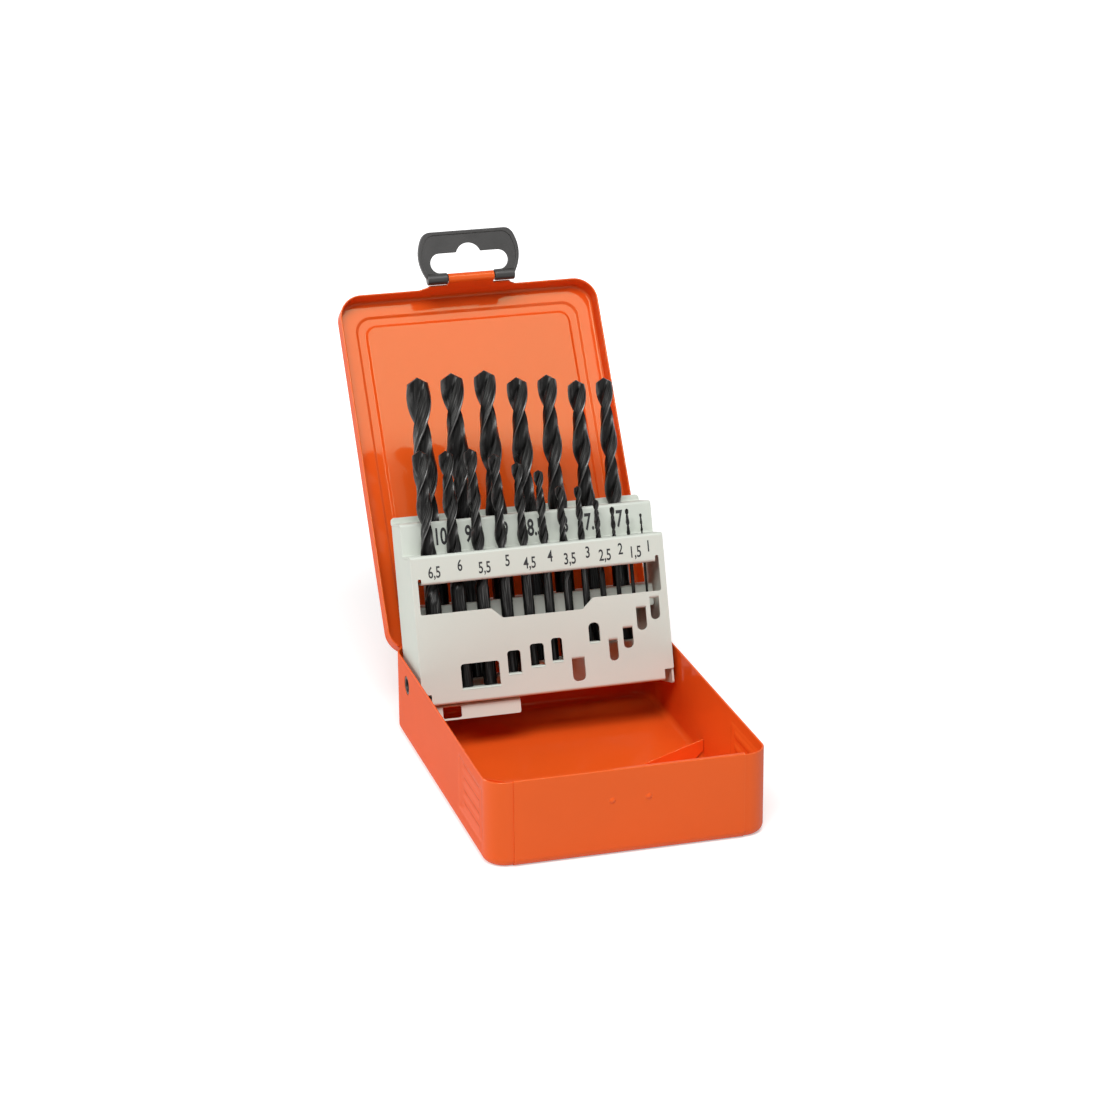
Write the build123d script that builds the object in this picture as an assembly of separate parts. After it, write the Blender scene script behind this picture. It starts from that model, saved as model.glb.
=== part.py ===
from build123d import *
import math
import os

# Drill index case: a folded sheet-metal tray, a hinged lid with a hang tab, and a stepped
# holder that swings up with nineteen twist drills. Millimetres, Z up, X across, -Y to the
# front, with the origin at the centre of the tray's flat bottom. The case is built open.

# ---- sheet and clearances ------------------------------------------------------------
TRAY_SHEET = 0.8
LID_SHEET = 0.7
PANEL_SHEET = 0.5
HOLDER_SHEET = 0.8
BEND_RADIUS = 0.4          # inside radius of a folded bend
RUNNING_CLEARANCE = 0.05   # radial, between a pin or boss and the bore it turns in
DRILL_CLEARANCE = 0.15     # radial, between a drill and the holes that guide it
SEAT_GAP = 0.1             # between a drill's end, or a folded edge, and what it rests on
HINGE_GAP = 0.4            # between neighbouring hinge knuckles, and round each in its notch
OVERLAP = 1.0              # how far a cut or a joined sheet runs past the face that it meets

# ---- tray ------------------------------------------------------------------------------
TRAY_WIDTH = 111.5
TRAY_LENGTH = 150.5
TRAY_HEIGHT = 34.8
TRAY_CORNER = 9.0          # upright corners, outside
TRAY_EDGE = 3.5            # bottom edge, outside
PANEL_HALF = 45.5          # half the width of the front panel between the corner seams
PANEL_HEM = 3.5            # how far the panel's hem reaches down inside
PIP_SPACING = 14.4
PIP_HEIGHT = 22.7
PIP_RADIUS = 1.5
PIP_RISE = 0.7
GRIP_INSET = 8.25          # from the front wall to the grip panel on each side wall
GRIP_LENGTH = 35.0
GRIP_MIDDLE = 19.0         # height of its middle
GRIP_HEIGHT = 22.0
GRIP_DEPTH = 0.35
GROOVE_COUNT = 4
GROOVE_PITCH = 5.3
GROOVE_WIDTH = 2.2
GROOVE_LENGTH = 25.0
GROOVE_DEPTH = 0.4
REST_INSET = 77.25         # from the front wall to the folded rests of the closed holder
REST_REACH = 27.0
REST_HEIGHT = 9.0

# ---- hinge -----------------------------------------------------------------------------
PIN_RADIUS = 1.0
PIN_PROUD = 0.8
TRAY_KNUCKLE_HALF = 17.5   # half the tray's one knuckle, in the middle
LID_KNUCKLE = 20.0         # length of each lid knuckle, one on either side of it
LID_OPEN = 123.3           # degrees from shut to the open stop

# ---- lid ---------------------------------------------------------------------------------
LID_SIDE_GAP = 0.3         # beside the tray
LID_FRONT_GAP = 1.0        # ahead of the front panel, for the pips
LID_RISE = 8.4             # top face above the hinge pin
LID_RIM = 9.0              # depth of the rim
LID_CORNER = 10.0
LID_EDGE = 2.0             # radius that the lid's eased edge stands for
BEAD_MARGIN = 7.6          # from the lid's side to the pressed bead
BEAD_WIDTH = 4.7
BEAD_RISE = 0.7
BEAD_CORNER = 7.0

# ---- hang tab on the lid's free edge -------------------------------------------------------
TONGUE_HALF = 18.0
TONGUE_FLARE = 3.0
TONGUE_SHOULDER = 5.0      # flat part past the rim at full width
CURL_HALF = 10.0
CURL_DROP = 17.5           # from the lid's top face to the axis of the curl
BAR_RADIUS = 1.3
HANGER_LEAN = 21.0         # from upright, with the lid open
BARREL_RADIUS = 2.4
BARREL_HALF = 19.1
HANGER_WAIST = 22.0        # greatest half width
HANGER_WAIST_HEIGHT = 9.0
HANGER_TOP_HALF = 18.8
HANGER_HEIGHT = 20.0
HANGER_CORNER = 2.5
HANGER_WEB = 1.6
HANGER_THICKNESS = 2.2
HANGER_BORDER = 1.3
SLOT_LENGTH = 34.0
SLOT_HEIGHT = 8.4
SLOT_ARCH = 5.6            # radius of the arch for a single hook
SLOT_ARCH_TOP = 14.6

# ---- holder, in its own frame: Y is depth from the front face, Z is height from the
# ---- front ledge, and it turns about its bosses at PIVOT_DEPTH and PIVOT_HEIGHT -----------
HOLDER_SIDE_GAP = 1.7      # between the holder's side and the tray's wall
HOLDER_LEAN = 17.3         # back from upright when open
PIVOT_FROM_BACK = 23.25    # from the tray's back wall to the bosses' axis
PIVOT_DROP = 8.8           # from the tray's rim down to it
PIVOT_DEPTH = 16.0
PIVOT_HEIGHT = -52.5
BOSS_RADIUS = 3.95
FRONT_LEDGE = 13.0
RISER = 13.0
BACK_LEDGE = 17.0
BACK_LIP = 2.4
FACE_HEIGHT = 60.8
SIDE_HEIGHT = 62.3
FOOT_NOTCH = (4.0, 4.7)    # width and height cut from the face's bottom corners
FLANGE_REACH = 10.0
FLANGE_RISE = 8.0          # degrees
TAB_RISE = 18.0            # degrees, the stop tabs folded in at a window's foot
WINDOW_ROUND = 1.3         # corners of a stop window's free end, or a third of a narrow one
GUIDE_MARGIN = 2.45        # from the holder's side to the long window
GUIDE_HEIGHT = 12.0
GUIDE_WINDOW_TOP = -11.75
GUIDE_DIP = (43.0, 33.6, 4.3)  # the dip's top width, bottom width and depth
GUIDE_RELIEF = (1.5, 2.6)
REAR_GUIDE = -21.4         # top of the guide shelf for the back row
REAR_GUIDE_FRONT = 15.2
REAR_GUIDE_LIP = 3.2
REAR_TAB = 12.5
REAR_TAB_MARGIN = 0.6

# ---- bracket under the holder, with its slotted lip -----------------------------------------
BRACKET_INSET = 6.25       # from the holder's left side
BRACKET_WIDTH = 35.0
BRACKET_FRONT = 3.0
BRACKET_LIP = 6.3
BRACKET_SLOT = (7.8, 4.8)
BRACKET_SLOT_INSET = 6.3   # from the bracket's left end to the slot's middle

# ---- drills, from left to right: diameter, overall length, flute length, how far below its
# ---- point the flutes first stand side by side, and for the back row the height of its stop.
# ---- Equal webs of sheet stand between the holes of a row ------------------------------------
BACK_ROW = (
    (10.0, 133.0, 87.0, 18.7, -61.1),
    (9.5, 125.0, 81.0, 14.9, -52.5),
    (9.0, 125.0, 81.0, 14.7, -52.5),
    (8.5, 117.0, 75.0, 13.8, -48.5),
    (8.0, 117.0, 75.0, 13.0, -48.5),
    (7.5, 109.0, 69.0, 12.8, -43.8),
    (7.0, 109.0, 69.0, 11.8, -43.8),
)
FRONT_ROW = (
    (6.5, 101.0, 63.0, 11.0),
    (6.0, 93.0, 57.0, 10.0),
    (5.5, 93.0, 57.0, 9.4),
    (5.0, 86.0, 52.0, 8.4),
    (4.5, 80.0, 47.0, 7.6),
    (4.0, 75.0, 43.0, 6.8),
    (3.5, 70.0, 39.0, 5.9),
    (3.0, 61.0, 33.0, 5.1),
    (2.5, 57.0, 30.0, 4.2),
    (2.0, 49.0, 24.0, 3.4),
    (1.5, 40.0, 18.0, 2.5),
    (1.0, 34.0, 12.0, 1.7),
)
BACK_ROW_MARGIN = 9.55     # from the holder's side to the first and the last drill of a row
FRONT_ROW_MARGIN = 6.15
FRONT_ROW_DEPTH = 6.6
HELIX_ANGLE = 27.8
POINT_ANGLE = 118.0
LAND_ANGLE = 71.0          # arc of one land, degrees
WEB_SHARE = 0.2            # half the web over the radius
FLUTE_STEP = 72.0          # turn per ring of flat facets
NECK_FACING = -15.8        # direction the flutes face where the drill looks thinnest
ROUND_SIDES = 10           # flat sides of each shank and each drill hole

# Windows pressed through the holder's face: the thickest and the thinnest drill that the stop
# carries, how far the window runs past them to the left and to the right, its foot, its head,
# and the edge where the metal is folded in as the stop.
STOP_WINDOWS = (
    (6.0, 5.5, 0.2, 0.0, -54.8, -45.0, "foot"),
    (5.0, 5.0, 0.9, -0.3, -50.8, -41.7, "foot"),
    (4.5, 4.5, 0.7, 0.7, -48.9, -39.9, "foot"),
    (4.0, 4.0, 0.6, 0.1, -47.8, -38.5, "foot"),
    (3.5, 3.5, 1.0, 1.0, -57.1, -48.1, "head"),
    (3.0, 3.0, 0.8, 0.9, -41.7, -33.9, "foot"),
    (2.5, 2.5, 0.2, 1.2, -50.4, -42.1, "head"),
    (2.0, 2.0, 0.8, 1.5, -45.9, -37.7, "head"),
    (1.5, 1.5, 0.9, 1.9, -39.1, -30.1, "head"),
    (1.0, 1.0, 0.7, 2.3, -35.3, -26.6, "head"),
)

# ---- sizes that follow -----------------------------------------------------------------------
TRAY_BACK = TRAY_LENGTH / 2
PANEL_FRONT = -TRAY_LENGTH / 2 - PANEL_SHEET
PIN_Y = TRAY_BACK + PIN_RADIUS
PIN_Z = TRAY_HEIGHT - PIN_RADIUS - TRAY_SHEET
LID_BORE = PIN_RADIUS + RUNNING_CLEARANCE
LID_KNUCKLE_RADIUS = LID_BORE + LID_SHEET
TRAY_KNUCKLE_RADIUS = PIN_RADIUS + TRAY_SHEET
LID_TOP = PIN_Z + LID_RISE
LID_HALF = TRAY_WIDTH / 2 + LID_SIDE_GAP + LID_SHEET
LID_FRONT = PANEL_FRONT - LID_FRONT_GAP - LID_SHEET
LID_BACK = PIN_Y + LID_KNUCKLE_RADIUS
CURL_BORE = BAR_RADIUS + RUNNING_CLEARANCE * 2
CURL_RADIUS = CURL_BORE + LID_SHEET
CURL_Y = LID_FRONT - CURL_BORE
CURL_Z = LID_TOP - CURL_DROP
HOLDER_DEPTH = FRONT_LEDGE + BACK_LEDGE
HOLDER_HALF = TRAY_WIDTH / 2 - TRAY_SHEET - HOLDER_SIDE_GAP
GUIDE_HALF = HOLDER_HALF - GUIDE_MARGIN
PIVOT_Y = TRAY_BACK - PIVOT_FROM_BACK
PIVOT_Z = TRAY_HEIGHT - PIVOT_DROP
BRACKET_LEFT = -HOLDER_HALF + BRACKET_INSET
BRACKET_RIGHT = BRACKET_LEFT + BRACKET_WIDTH
BRACKET_TOP = min(drill[-1] for drill in BACK_ROW)
BACK_ROW_DEPTH = FRONT_LEDGE + BACK_LEDGE / 2
POINT_SLOPE = 1 / math.tan(math.radians(POINT_ANGLE / 2))
LID_KNUCKLE_SPAN = (TRAY_KNUCKLE_HALF + HINGE_GAP, TRAY_KNUCKLE_HALF + HINGE_GAP + LID_KNUCKLE)
CHAMFER_SHARE = 2 - math.sqrt(2)   # chamfer that touches the arc of a unit fillet


def box_between(x0, x1, y0, y1, z0, z1):
    """Solid box between two corners."""
    middle = Pos((x0 + x1) / 2, (y0 + y1) / 2, (z0 + z1) / 2)
    return middle * Box(abs(x1 - x0), abs(y1 - y0), abs(z1 - z0))


def rod_x(radius, x0, x1, y, z):
    """Cylinder along X between two stations."""
    return Pos((x0 + x1) / 2, y, z) * Rot(0, 90, 0) * Cylinder(radius, x1 - x0)


def both_sides(solid):
    """A solid and its mirror image across the middle plane."""
    return solid + mirror(solid, about=Plane.YZ)


def extrude_x(outline, x0, x1):
    """Outline drawn as (depth, height) pairs, carried along X."""
    return extrude(Plane.YZ.offset(x0) * outline, amount=x1 - x0)


def place_holder(solid):
    """From the holder's own frame to its open place in the tray."""
    return (Pos(0, PIVOT_Y, PIVOT_Z) * Rot(-HOLDER_LEAN, 0, 0)
            * Pos(0, -PIVOT_DEPTH, -PIVOT_HEIGHT) * solid)


def open_lid(solid):
    """From the shut lid to the open one."""
    return Pos(0, PIN_Y, PIN_Z) * Rot(-LID_OPEN, 0, 0) * Pos(0, -PIN_Y, -PIN_Z) * solid


# ---- tray --------------------------------------------------------------------------------------
def tray_block(front_growth=0.0):
    """Solid outside of the tray, grown at the front where the panel wraps it."""
    length = TRAY_LENGTH + front_growth
    plan = Pos(0, -front_growth / 2) * RectangleRounded(TRAY_WIDTH, length, TRAY_CORNER)
    block = extrude(plan, amount=TRAY_HEIGHT)
    return fillet(block.faces().sort_by(Axis.Z)[0].edges(), TRAY_EDGE)


def hollow(width, length, corner, depth, inner_edge):
    """Inside of a pressed pan that stands on its floor, its bottom edge eased by a chamfer."""
    inside = extrude(RectangleRounded(width, length, corner), amount=depth)
    return chamfer(inside.faces().sort_by(Axis.Z)[0].edges(), inner_edge * CHAMFER_SHARE)


def grip_recess(outer_x, sheet):
    """Shallow panel with grooves across it, pressed into a side wall."""
    front = GRIP_INSET - TRAY_LENGTH / 2
    back = front + GRIP_LENGTH
    low = GRIP_MIDDLE - GRIP_HEIGHT / 2
    recess = box_between(outer_x, outer_x + sheet, front, back, low, low + GRIP_HEIGHT)
    middle = (front + back) / 2
    for row in range(GROOVE_COUNT):
        z = GRIP_MIDDLE + (row - (GROOVE_COUNT - 1) / 2) * GROOVE_PITCH
        recess += box_between(outer_x, outer_x + sheet + GROOVE_DEPTH,
                              middle - GROOVE_LENGTH / 2, middle + GROOVE_LENGTH / 2,
                              z - GROOVE_WIDTH / 2, z + GROOVE_WIDTH / 2)
    return recess


def tray():
    """Deep tray with its knuckles, notches, pivot holes and grip panels."""
    inside = hollow(TRAY_WIDTH - 2 * TRAY_SHEET, TRAY_LENGTH - 2 * TRAY_SHEET,
                    TRAY_CORNER - TRAY_SHEET, TRAY_HEIGHT, TRAY_EDGE - TRAY_SHEET)
    shell = tray_block() - Pos(0, 0, TRAY_SHEET) * inside
    wall = -TRAY_WIDTH / 2
    shell += both_sides(grip_recess(wall + GRIP_DEPTH, TRAY_SHEET))
    shell -= both_sides(grip_recess(wall, GRIP_DEPTH))
    shell += rod_x(TRAY_KNUCKLE_RADIUS, -TRAY_KNUCKLE_HALF, TRAY_KNUCKLE_HALF, PIN_Y, PIN_Z)
    shell -= rod_x(PIN_RADIUS, -TRAY_KNUCKLE_HALF, TRAY_KNUCKLE_HALF, PIN_Y, PIN_Z)
    start, end = LID_KNUCKLE_SPAN
    shell -= both_sides(box_between(
        start - HINGE_GAP, end + HINGE_GAP, TRAY_BACK - 2 * TRAY_SHEET, TRAY_BACK + TRAY_SHEET,
        PIN_Z - LID_KNUCKLE_RADIUS - HINGE_GAP, TRAY_HEIGHT))
    hole = BOSS_RADIUS + RUNNING_CLEARANCE
    shell -= both_sides(rod_x(hole, wall - TRAY_SHEET, wall + 2 * TRAY_SHEET, PIVOT_Y, PIVOT_Z))
    return shell


def front_panel():
    """Sheet wrapped over the tray's front wall, with a hem over its top and two pips."""
    skin = tray_block(PANEL_SHEET) - tray_block()
    skin &= box_between(-PANEL_HALF, PANEL_HALF, PANEL_FRONT, 0, 0, TRAY_HEIGHT)
    skin = skin.solids().sort_by(Axis.Y)[0]
    inner = -TRAY_LENGTH / 2 + TRAY_SHEET
    hem_top = TRAY_HEIGHT + PANEL_SHEET
    hem = box_between(-PANEL_HALF, PANEL_HALF, PANEL_FRONT, inner + PANEL_SHEET,
                      TRAY_HEIGHT - PANEL_HEM, hem_top)
    hem = fillet(hem.edges().filter_by(Axis.X).group_by(Axis.Z)[-1], PANEL_SHEET)
    hem -= box_between(-PANEL_HALF, PANEL_HALF, -TRAY_LENGTH / 2, inner, 0, TRAY_HEIGHT)
    panel = skin + hem
    ball = (PIP_RADIUS ** 2 + PIP_RISE ** 2) / (2 * PIP_RISE)
    pip = Pos(PIP_SPACING / 2, PANEL_FRONT + ball - PIP_RISE, PIP_HEIGHT) * Sphere(ball)
    pip &= box_between(0, PANEL_HALF, PANEL_FRONT - PIP_RISE, PANEL_FRONT + PANEL_SHEET / 2,
                       0, TRAY_HEIGHT)
    return panel + both_sides(pip)


def rest():
    """Upright triangle folded up from the floor beside the right wall."""
    wall = TRAY_WIDTH / 2 - TRAY_SHEET - SEAT_GAP
    corner = TRAY_EDGE
    floor = TRAY_SHEET
    outline = Polyline((wall, floor + corner), (wall, REST_HEIGHT),
                       (wall - REST_REACH, floor), (wall - corner, floor), close=True)
    plate = extrude(Plane.XZ * make_face(outline), amount=TRAY_SHEET / 2, both=True)
    return Pos(0, REST_INSET - TRAY_LENGTH / 2, 0) * plate


def hinge_pin():
    """Wire pin through every knuckle, standing a little proud at both ends."""
    end = LID_KNUCKLE_SPAN[1] + PIN_PROUD
    return rod_x(PIN_RADIUS, -end, end, PIN_Y, PIN_Z)


# ---- lid ------------------------------------------------------------------------------------------
def lid_bead():
    """Rounded rectangular frame pressed into the lid's face, as a flat sketch."""
    width = 2 * (LID_HALF - BEAD_MARGIN)
    length = LID_BACK - LID_FRONT - 2 * BEAD_MARGIN
    outer = RectangleRounded(width, length, BEAD_CORNER)
    inner = RectangleRounded(width - 2 * BEAD_WIDTH, length - 2 * BEAD_WIDTH,
                             BEAD_CORNER - BEAD_WIDTH / 2)
    return Pos(0, (LID_FRONT + LID_BACK) / 2) * (outer - inner)


def tongue():
    """Tab that runs on from the front rim and curls outward round the hanger's bar."""
    rim_edge = LID_TOP - LID_RIM
    shoulder = rim_edge - TONGUE_SHOULDER
    flare = TONGUE_HALF + TONGUE_FLARE
    outline = Polyline((-flare, rim_edge + OVERLAP), (-flare, rim_edge),
                       (-TONGUE_HALF, rim_edge - TONGUE_FLARE), (-TONGUE_HALF, shoulder),
                       (-CURL_HALF, shoulder), (-CURL_HALF, CURL_Z), (CURL_HALF, CURL_Z),
                       (CURL_HALF, shoulder), (TONGUE_HALF, shoulder),
                       (TONGUE_HALF, rim_edge - TONGUE_FLARE), (flare, rim_edge),
                       (flare, rim_edge + OVERLAP), close=True)
    sheet = Pos(0, LID_FRONT + LID_SHEET, 0) * extrude(
        Plane.XZ * make_face(outline), amount=LID_SHEET)
    curl = rod_x(CURL_RADIUS, -CURL_HALF, CURL_HALF, CURL_Y, CURL_Z)
    curl -= rod_x(CURL_BORE, -CURL_HALF, CURL_HALF, CURL_Y, CURL_Z)
    mouth = make_face(Polyline((0, 0), (2 * CURL_RADIUS, 0),
                               (CURL_RADIUS, 2 * CURL_RADIUS), close=True))
    curl -= Pos(0, CURL_Y, CURL_Z) * extrude_x(mouth, -CURL_HALF, CURL_HALF)
    return sheet + curl


def lid_shut():
    """Lid with rim, bead, knuckles and tongue, as it sits when shut."""
    length = LID_BACK - LID_FRONT
    rim_edge = LID_TOP - LID_RIM
    middle = Pos(0, (LID_FRONT + LID_BACK) / 2, 0)
    block = extrude(RectangleRounded(2 * LID_HALF, length, LID_CORNER), amount=-LID_RIM)
    block = chamfer(block.faces().sort_by(Axis.Z)[-1].edges(), LID_EDGE * CHAMFER_SHARE)
    inside = hollow(2 * (LID_HALF - LID_SHEET), length - 2 * LID_SHEET, LID_CORNER - LID_SHEET,
                    LID_RIM, LID_EDGE - LID_SHEET)
    block -= Pos(0, 0, -LID_SHEET) * Rot(180, 0, 0) * inside
    shell = middle * Pos(0, 0, LID_TOP) * block
    bead = lid_bead()
    shell += Pos(0, 0, LID_TOP) * extrude(bead, amount=BEAD_RISE)
    groove = offset(bead, amount=-LID_SHEET, kind=Kind.INTERSECTION)
    shell -= Pos(0, 0, LID_TOP - LID_SHEET) * extrude(groove, amount=BEAD_RISE)
    start, end = LID_KNUCKLE_SPAN
    shell -= box_between(-LID_HALF, LID_HALF, PIN_Y - PIN_RADIUS, LID_BACK,
                         rim_edge, PIN_Z + PIN_RADIUS / 2)
    shell -= box_between(-start, start, PIN_Y, LID_BACK,
                         rim_edge, PIN_Z + TRAY_KNUCKLE_RADIUS + HINGE_GAP)
    knuckle = box_between(start, end, LID_BACK - LID_SHEET, LID_BACK, PIN_Z, LID_TOP - LID_EDGE)
    knuckle += rod_x(LID_KNUCKLE_RADIUS, start, end, PIN_Y, PIN_Z)
    shell += both_sides(knuckle - rod_x(LID_BORE, start, end, PIN_Y, PIN_Z))
    return shell + tongue()


def hanger_profile(inset=0.0):
    """Outline of the hanger's plate above its bar."""
    foot, waist, top = (half - inset for half in (BARREL_HALF, HANGER_WAIST, HANGER_TOP_HALF))
    height = HANGER_HEIGHT - inset
    right = ThreePointArc((foot, 0), (waist, HANGER_WAIST_HEIGHT), (top, height))
    left = ThreePointArc((-top, height), (-waist, HANGER_WAIST_HEIGHT), (-foot, 0))
    plate = make_face([right, Line((top, height), (-top, height)), left,
                       Line((-foot, 0), (foot, 0))])
    return fillet(plate.vertices().group_by(Axis.Y)[-1], HANGER_CORNER - inset / 2)


def hanger():
    """Moulded hanger with its bar, two barrels, raised border and a hook slot."""
    full, field = hanger_profile(), hanger_profile(HANGER_BORDER)
    plate = extrude(Plane.XZ * full, amount=HANGER_THICKNESS / 2, both=True)
    depth = (HANGER_THICKNESS - HANGER_WEB) / 2
    recess = extrude(Plane.XZ * field, amount=depth)
    plate -= Pos(0, HANGER_THICKNESS / 2, 0) * recess
    plate -= Pos(0, -HANGER_THICKNESS / 2 + depth, 0) * recess
    slot_middle = BARREL_RADIUS + SLOT_HEIGHT / 2
    slot = Pos(0, slot_middle) * SlotOverall(SLOT_LENGTH, SLOT_HEIGHT)
    slot += Pos(0, SLOT_ARCH_TOP - SLOT_ARCH) * Circle(SLOT_ARCH)
    gap = CURL_HALF + SEAT_GAP * 3
    slot += Pos(0, slot_middle / 2) * Rectangle(2 * gap, slot_middle)
    plate -= extrude(Plane.XZ * slot, amount=HANGER_THICKNESS, both=True)
    plate += both_sides(rod_x(BARREL_RADIUS, gap, BARREL_HALF, 0, 0))
    plate -= box_between(-gap, gap, -BARREL_RADIUS, BARREL_RADIUS, -BARREL_RADIUS, 0)
    return plate + rod_x(BAR_RADIUS, -gap, gap, 0, 0)


def place_hanger(solid):
    """From the hanger's own frame to the curl of the open lid."""
    bar = open_lid(Location((0, CURL_Y, CURL_Z))).position
    return Pos(bar.X, bar.Y, bar.Z) * Rot(-HANGER_LEAN, 0, 0) * solid


# ---- holder ------------------------------------------------------------------------------------------
def stair_outline():
    """Section of the stepped sheet: face, front ledge, riser, back ledge and lip."""
    sheet = HOLDER_SHEET
    back = HOLDER_DEPTH
    points = [(0, -FACE_HEIGHT), (0, 0), (FRONT_LEDGE, 0), (FRONT_LEDGE, RISER),
              (back - sheet, RISER), (back - sheet, RISER + BACK_LIP), (back, RISER + BACK_LIP),
              (back, RISER - sheet), (FRONT_LEDGE + sheet, RISER - sheet),
              (FRONT_LEDGE + sheet, -sheet), (sheet, -sheet), (sheet, -FACE_HEIGHT)]
    face = make_face(Polyline(*points, close=True))
    outside = BEND_RADIUS + sheet
    bends = {points[1]: outside, points[10]: BEND_RADIUS, points[2]: BEND_RADIUS,
             points[9]: outside, points[3]: outside, points[8]: BEND_RADIUS,
             points[4]: BEND_RADIUS, points[7]: outside}
    for (y, z), radius in bends.items():
        corner = face.vertices().sort_by_distance((y, z, 0))[0]
        face = fillet(corner, radius)
    return face


def window_cut(first, last, before, after, foot, head, fold):
    """Stop window with the corners of its free end rounded."""
    left, right = window_sides(first, last, before, after)
    width = right - left
    sheet = Pos((left + right) / 2, (foot + head) / 2) * Rectangle(width, head - foot)
    free_end = sheet.vertices().group_by(Axis.Y)[-1 if fold == "foot" else 0]
    sheet = fillet(free_end, min(WINDOW_ROUND, width / 3))
    return extrude(Plane.XZ * sheet, amount=HOLDER_SHEET, both=True)


def stop_tab(first, last, before, after, foot, head, fold):
    """Metal of a stop window, folded inward at its foot or its head."""
    left, right = window_sides(first, last, before, after)
    middle = (left + right) / 2
    side = Align.MAX if fold == "foot" else Align.MIN
    tab = Box(right - left, head - foot, HOLDER_SHEET, align=(Align.CENTER, Align.MIN, side))
    if fold == "foot":
        return Pos(middle, 0, foot) * Rot(TAB_RISE, 0, 0) * tab
    return Pos(middle, 0, head) * tab


def row_places(row, margin):
    """Place across the holder of each drill of a row, by its diameter."""
    sizes = [drill[0] for drill in row]
    web = (2 * (HOLDER_HALF - margin) - sum(sizes)) / (len(sizes) - 1)
    places, edge = {}, margin - HOLDER_HALF
    for size in sizes:
        places[size] = edge + size / 2
        edge += size + web
    return places


BACK_PLACES = row_places(BACK_ROW, BACK_ROW_MARGIN)
FRONT_PLACES = row_places(FRONT_ROW, FRONT_ROW_MARGIN)


def window_sides(first, last, before, after):
    """X of a stop window's left and right sides."""
    left = FRONT_PLACES[first] - first / 2 - before
    return left, FRONT_PLACES[last] + last / 2 + after


def front_stop(diameter):
    """Height at which a front-row drill ends on its stop."""
    reach = FRONT_ROW_DEPTH + diameter / 2
    for first, last, _, _, foot, head, fold in STOP_WINDOWS:
        if last <= diameter <= first:
            if fold == "head":
                return head + HOLDER_SHEET + SEAT_GAP
            return foot + reach * math.tan(math.radians(TAB_RISE)) + SEAT_GAP
    flange = HOLDER_SHEET + reach * math.tan(math.radians(FLANGE_RISE))
    return flange - FACE_HEIGHT + SEAT_GAP


def drill_holes(places, depth, top):
    """Holes for a row of drills through one level of the holder."""
    holes = [Pos(x, depth) * RegularPolygon(size / 2 + DRILL_CLEARANCE, ROUND_SIDES,
                                            major_radius=False)
             for size, x in places.items()]
    return Pos(0, 0, top) * extrude(Sketch() + holes, amount=2 * HOLDER_SHEET, both=True)


def guide_flap():
    """Flap of the long window, folded in as a second level of holes."""
    half = GUIDE_HALF - GUIDE_RELIEF[0]
    wide, narrow, drop = GUIDE_DIP
    edge, dip = GUIDE_HEIGHT, GUIDE_HEIGHT + drop
    outline = make_face(Polyline((-half, 0), (half, 0), (half, edge), (wide / 2, edge),
                                 (narrow / 2, dip), (-narrow / 2, dip), (-wide / 2, edge),
                                 (-half, edge), close=True))
    return Pos(0, 0, GUIDE_WINDOW_TOP) * extrude(outline, amount=HOLDER_SHEET)


def guide_window():
    """Long window over the whole face, with its dip and its two relief notches."""
    wide, narrow, drop = GUIDE_DIP
    half = GUIDE_HALF
    low = GUIDE_WINDOW_TOP - GUIDE_HEIGHT
    outline = make_face(Polyline(
        (-half, GUIDE_WINDOW_TOP), (-half, low), (-wide / 2, low), (-narrow / 2, low - drop),
        (narrow / 2, low - drop), (wide / 2, low), (half, low), (half, GUIDE_WINDOW_TOP),
        close=True))
    cut = extrude(Plane.XZ * outline, amount=HOLDER_SHEET, both=True)
    notch, rise = GUIDE_RELIEF
    cut += both_sides(box_between(half - notch, half, -HOLDER_SHEET, HOLDER_SHEET,
                                  GUIDE_WINDOW_TOP, GUIDE_WINDOW_TOP + rise))
    return cut


def holder_face():
    """Stepped front sheet of the holder with its windows, stops and holes."""
    sheet = extrude_x(stair_outline(), -HOLDER_HALF, HOLDER_HALF)
    notch, rise = FOOT_NOTCH
    sheet -= both_sides(box_between(HOLDER_HALF - notch, HOLDER_HALF, 0, HOLDER_SHEET,
                                    -FACE_HEIGHT, -FACE_HEIGHT + rise))
    sheet -= guide_window()
    for window in STOP_WINDOWS:
        sheet -= window_cut(*window)
    for window in STOP_WINDOWS:
        sheet += stop_tab(*window)
    sheet += guide_flap()
    flange = Box(2 * (HOLDER_HALF - notch), FLANGE_REACH, HOLDER_SHEET,
                 align=(Align.CENTER, Align.MIN, Align.MIN))
    sheet += Pos(0, 0, -FACE_HEIGHT) * Rot(FLANGE_RISE, 0, 0) * flange
    sheet -= drill_holes(FRONT_PLACES, FRONT_ROW_DEPTH, 0)
    sheet -= drill_holes(FRONT_PLACES, FRONT_ROW_DEPTH, GUIDE_WINDOW_TOP)
    return sheet - drill_holes(BACK_PLACES, BACK_ROW_DEPTH, RISER)


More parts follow.
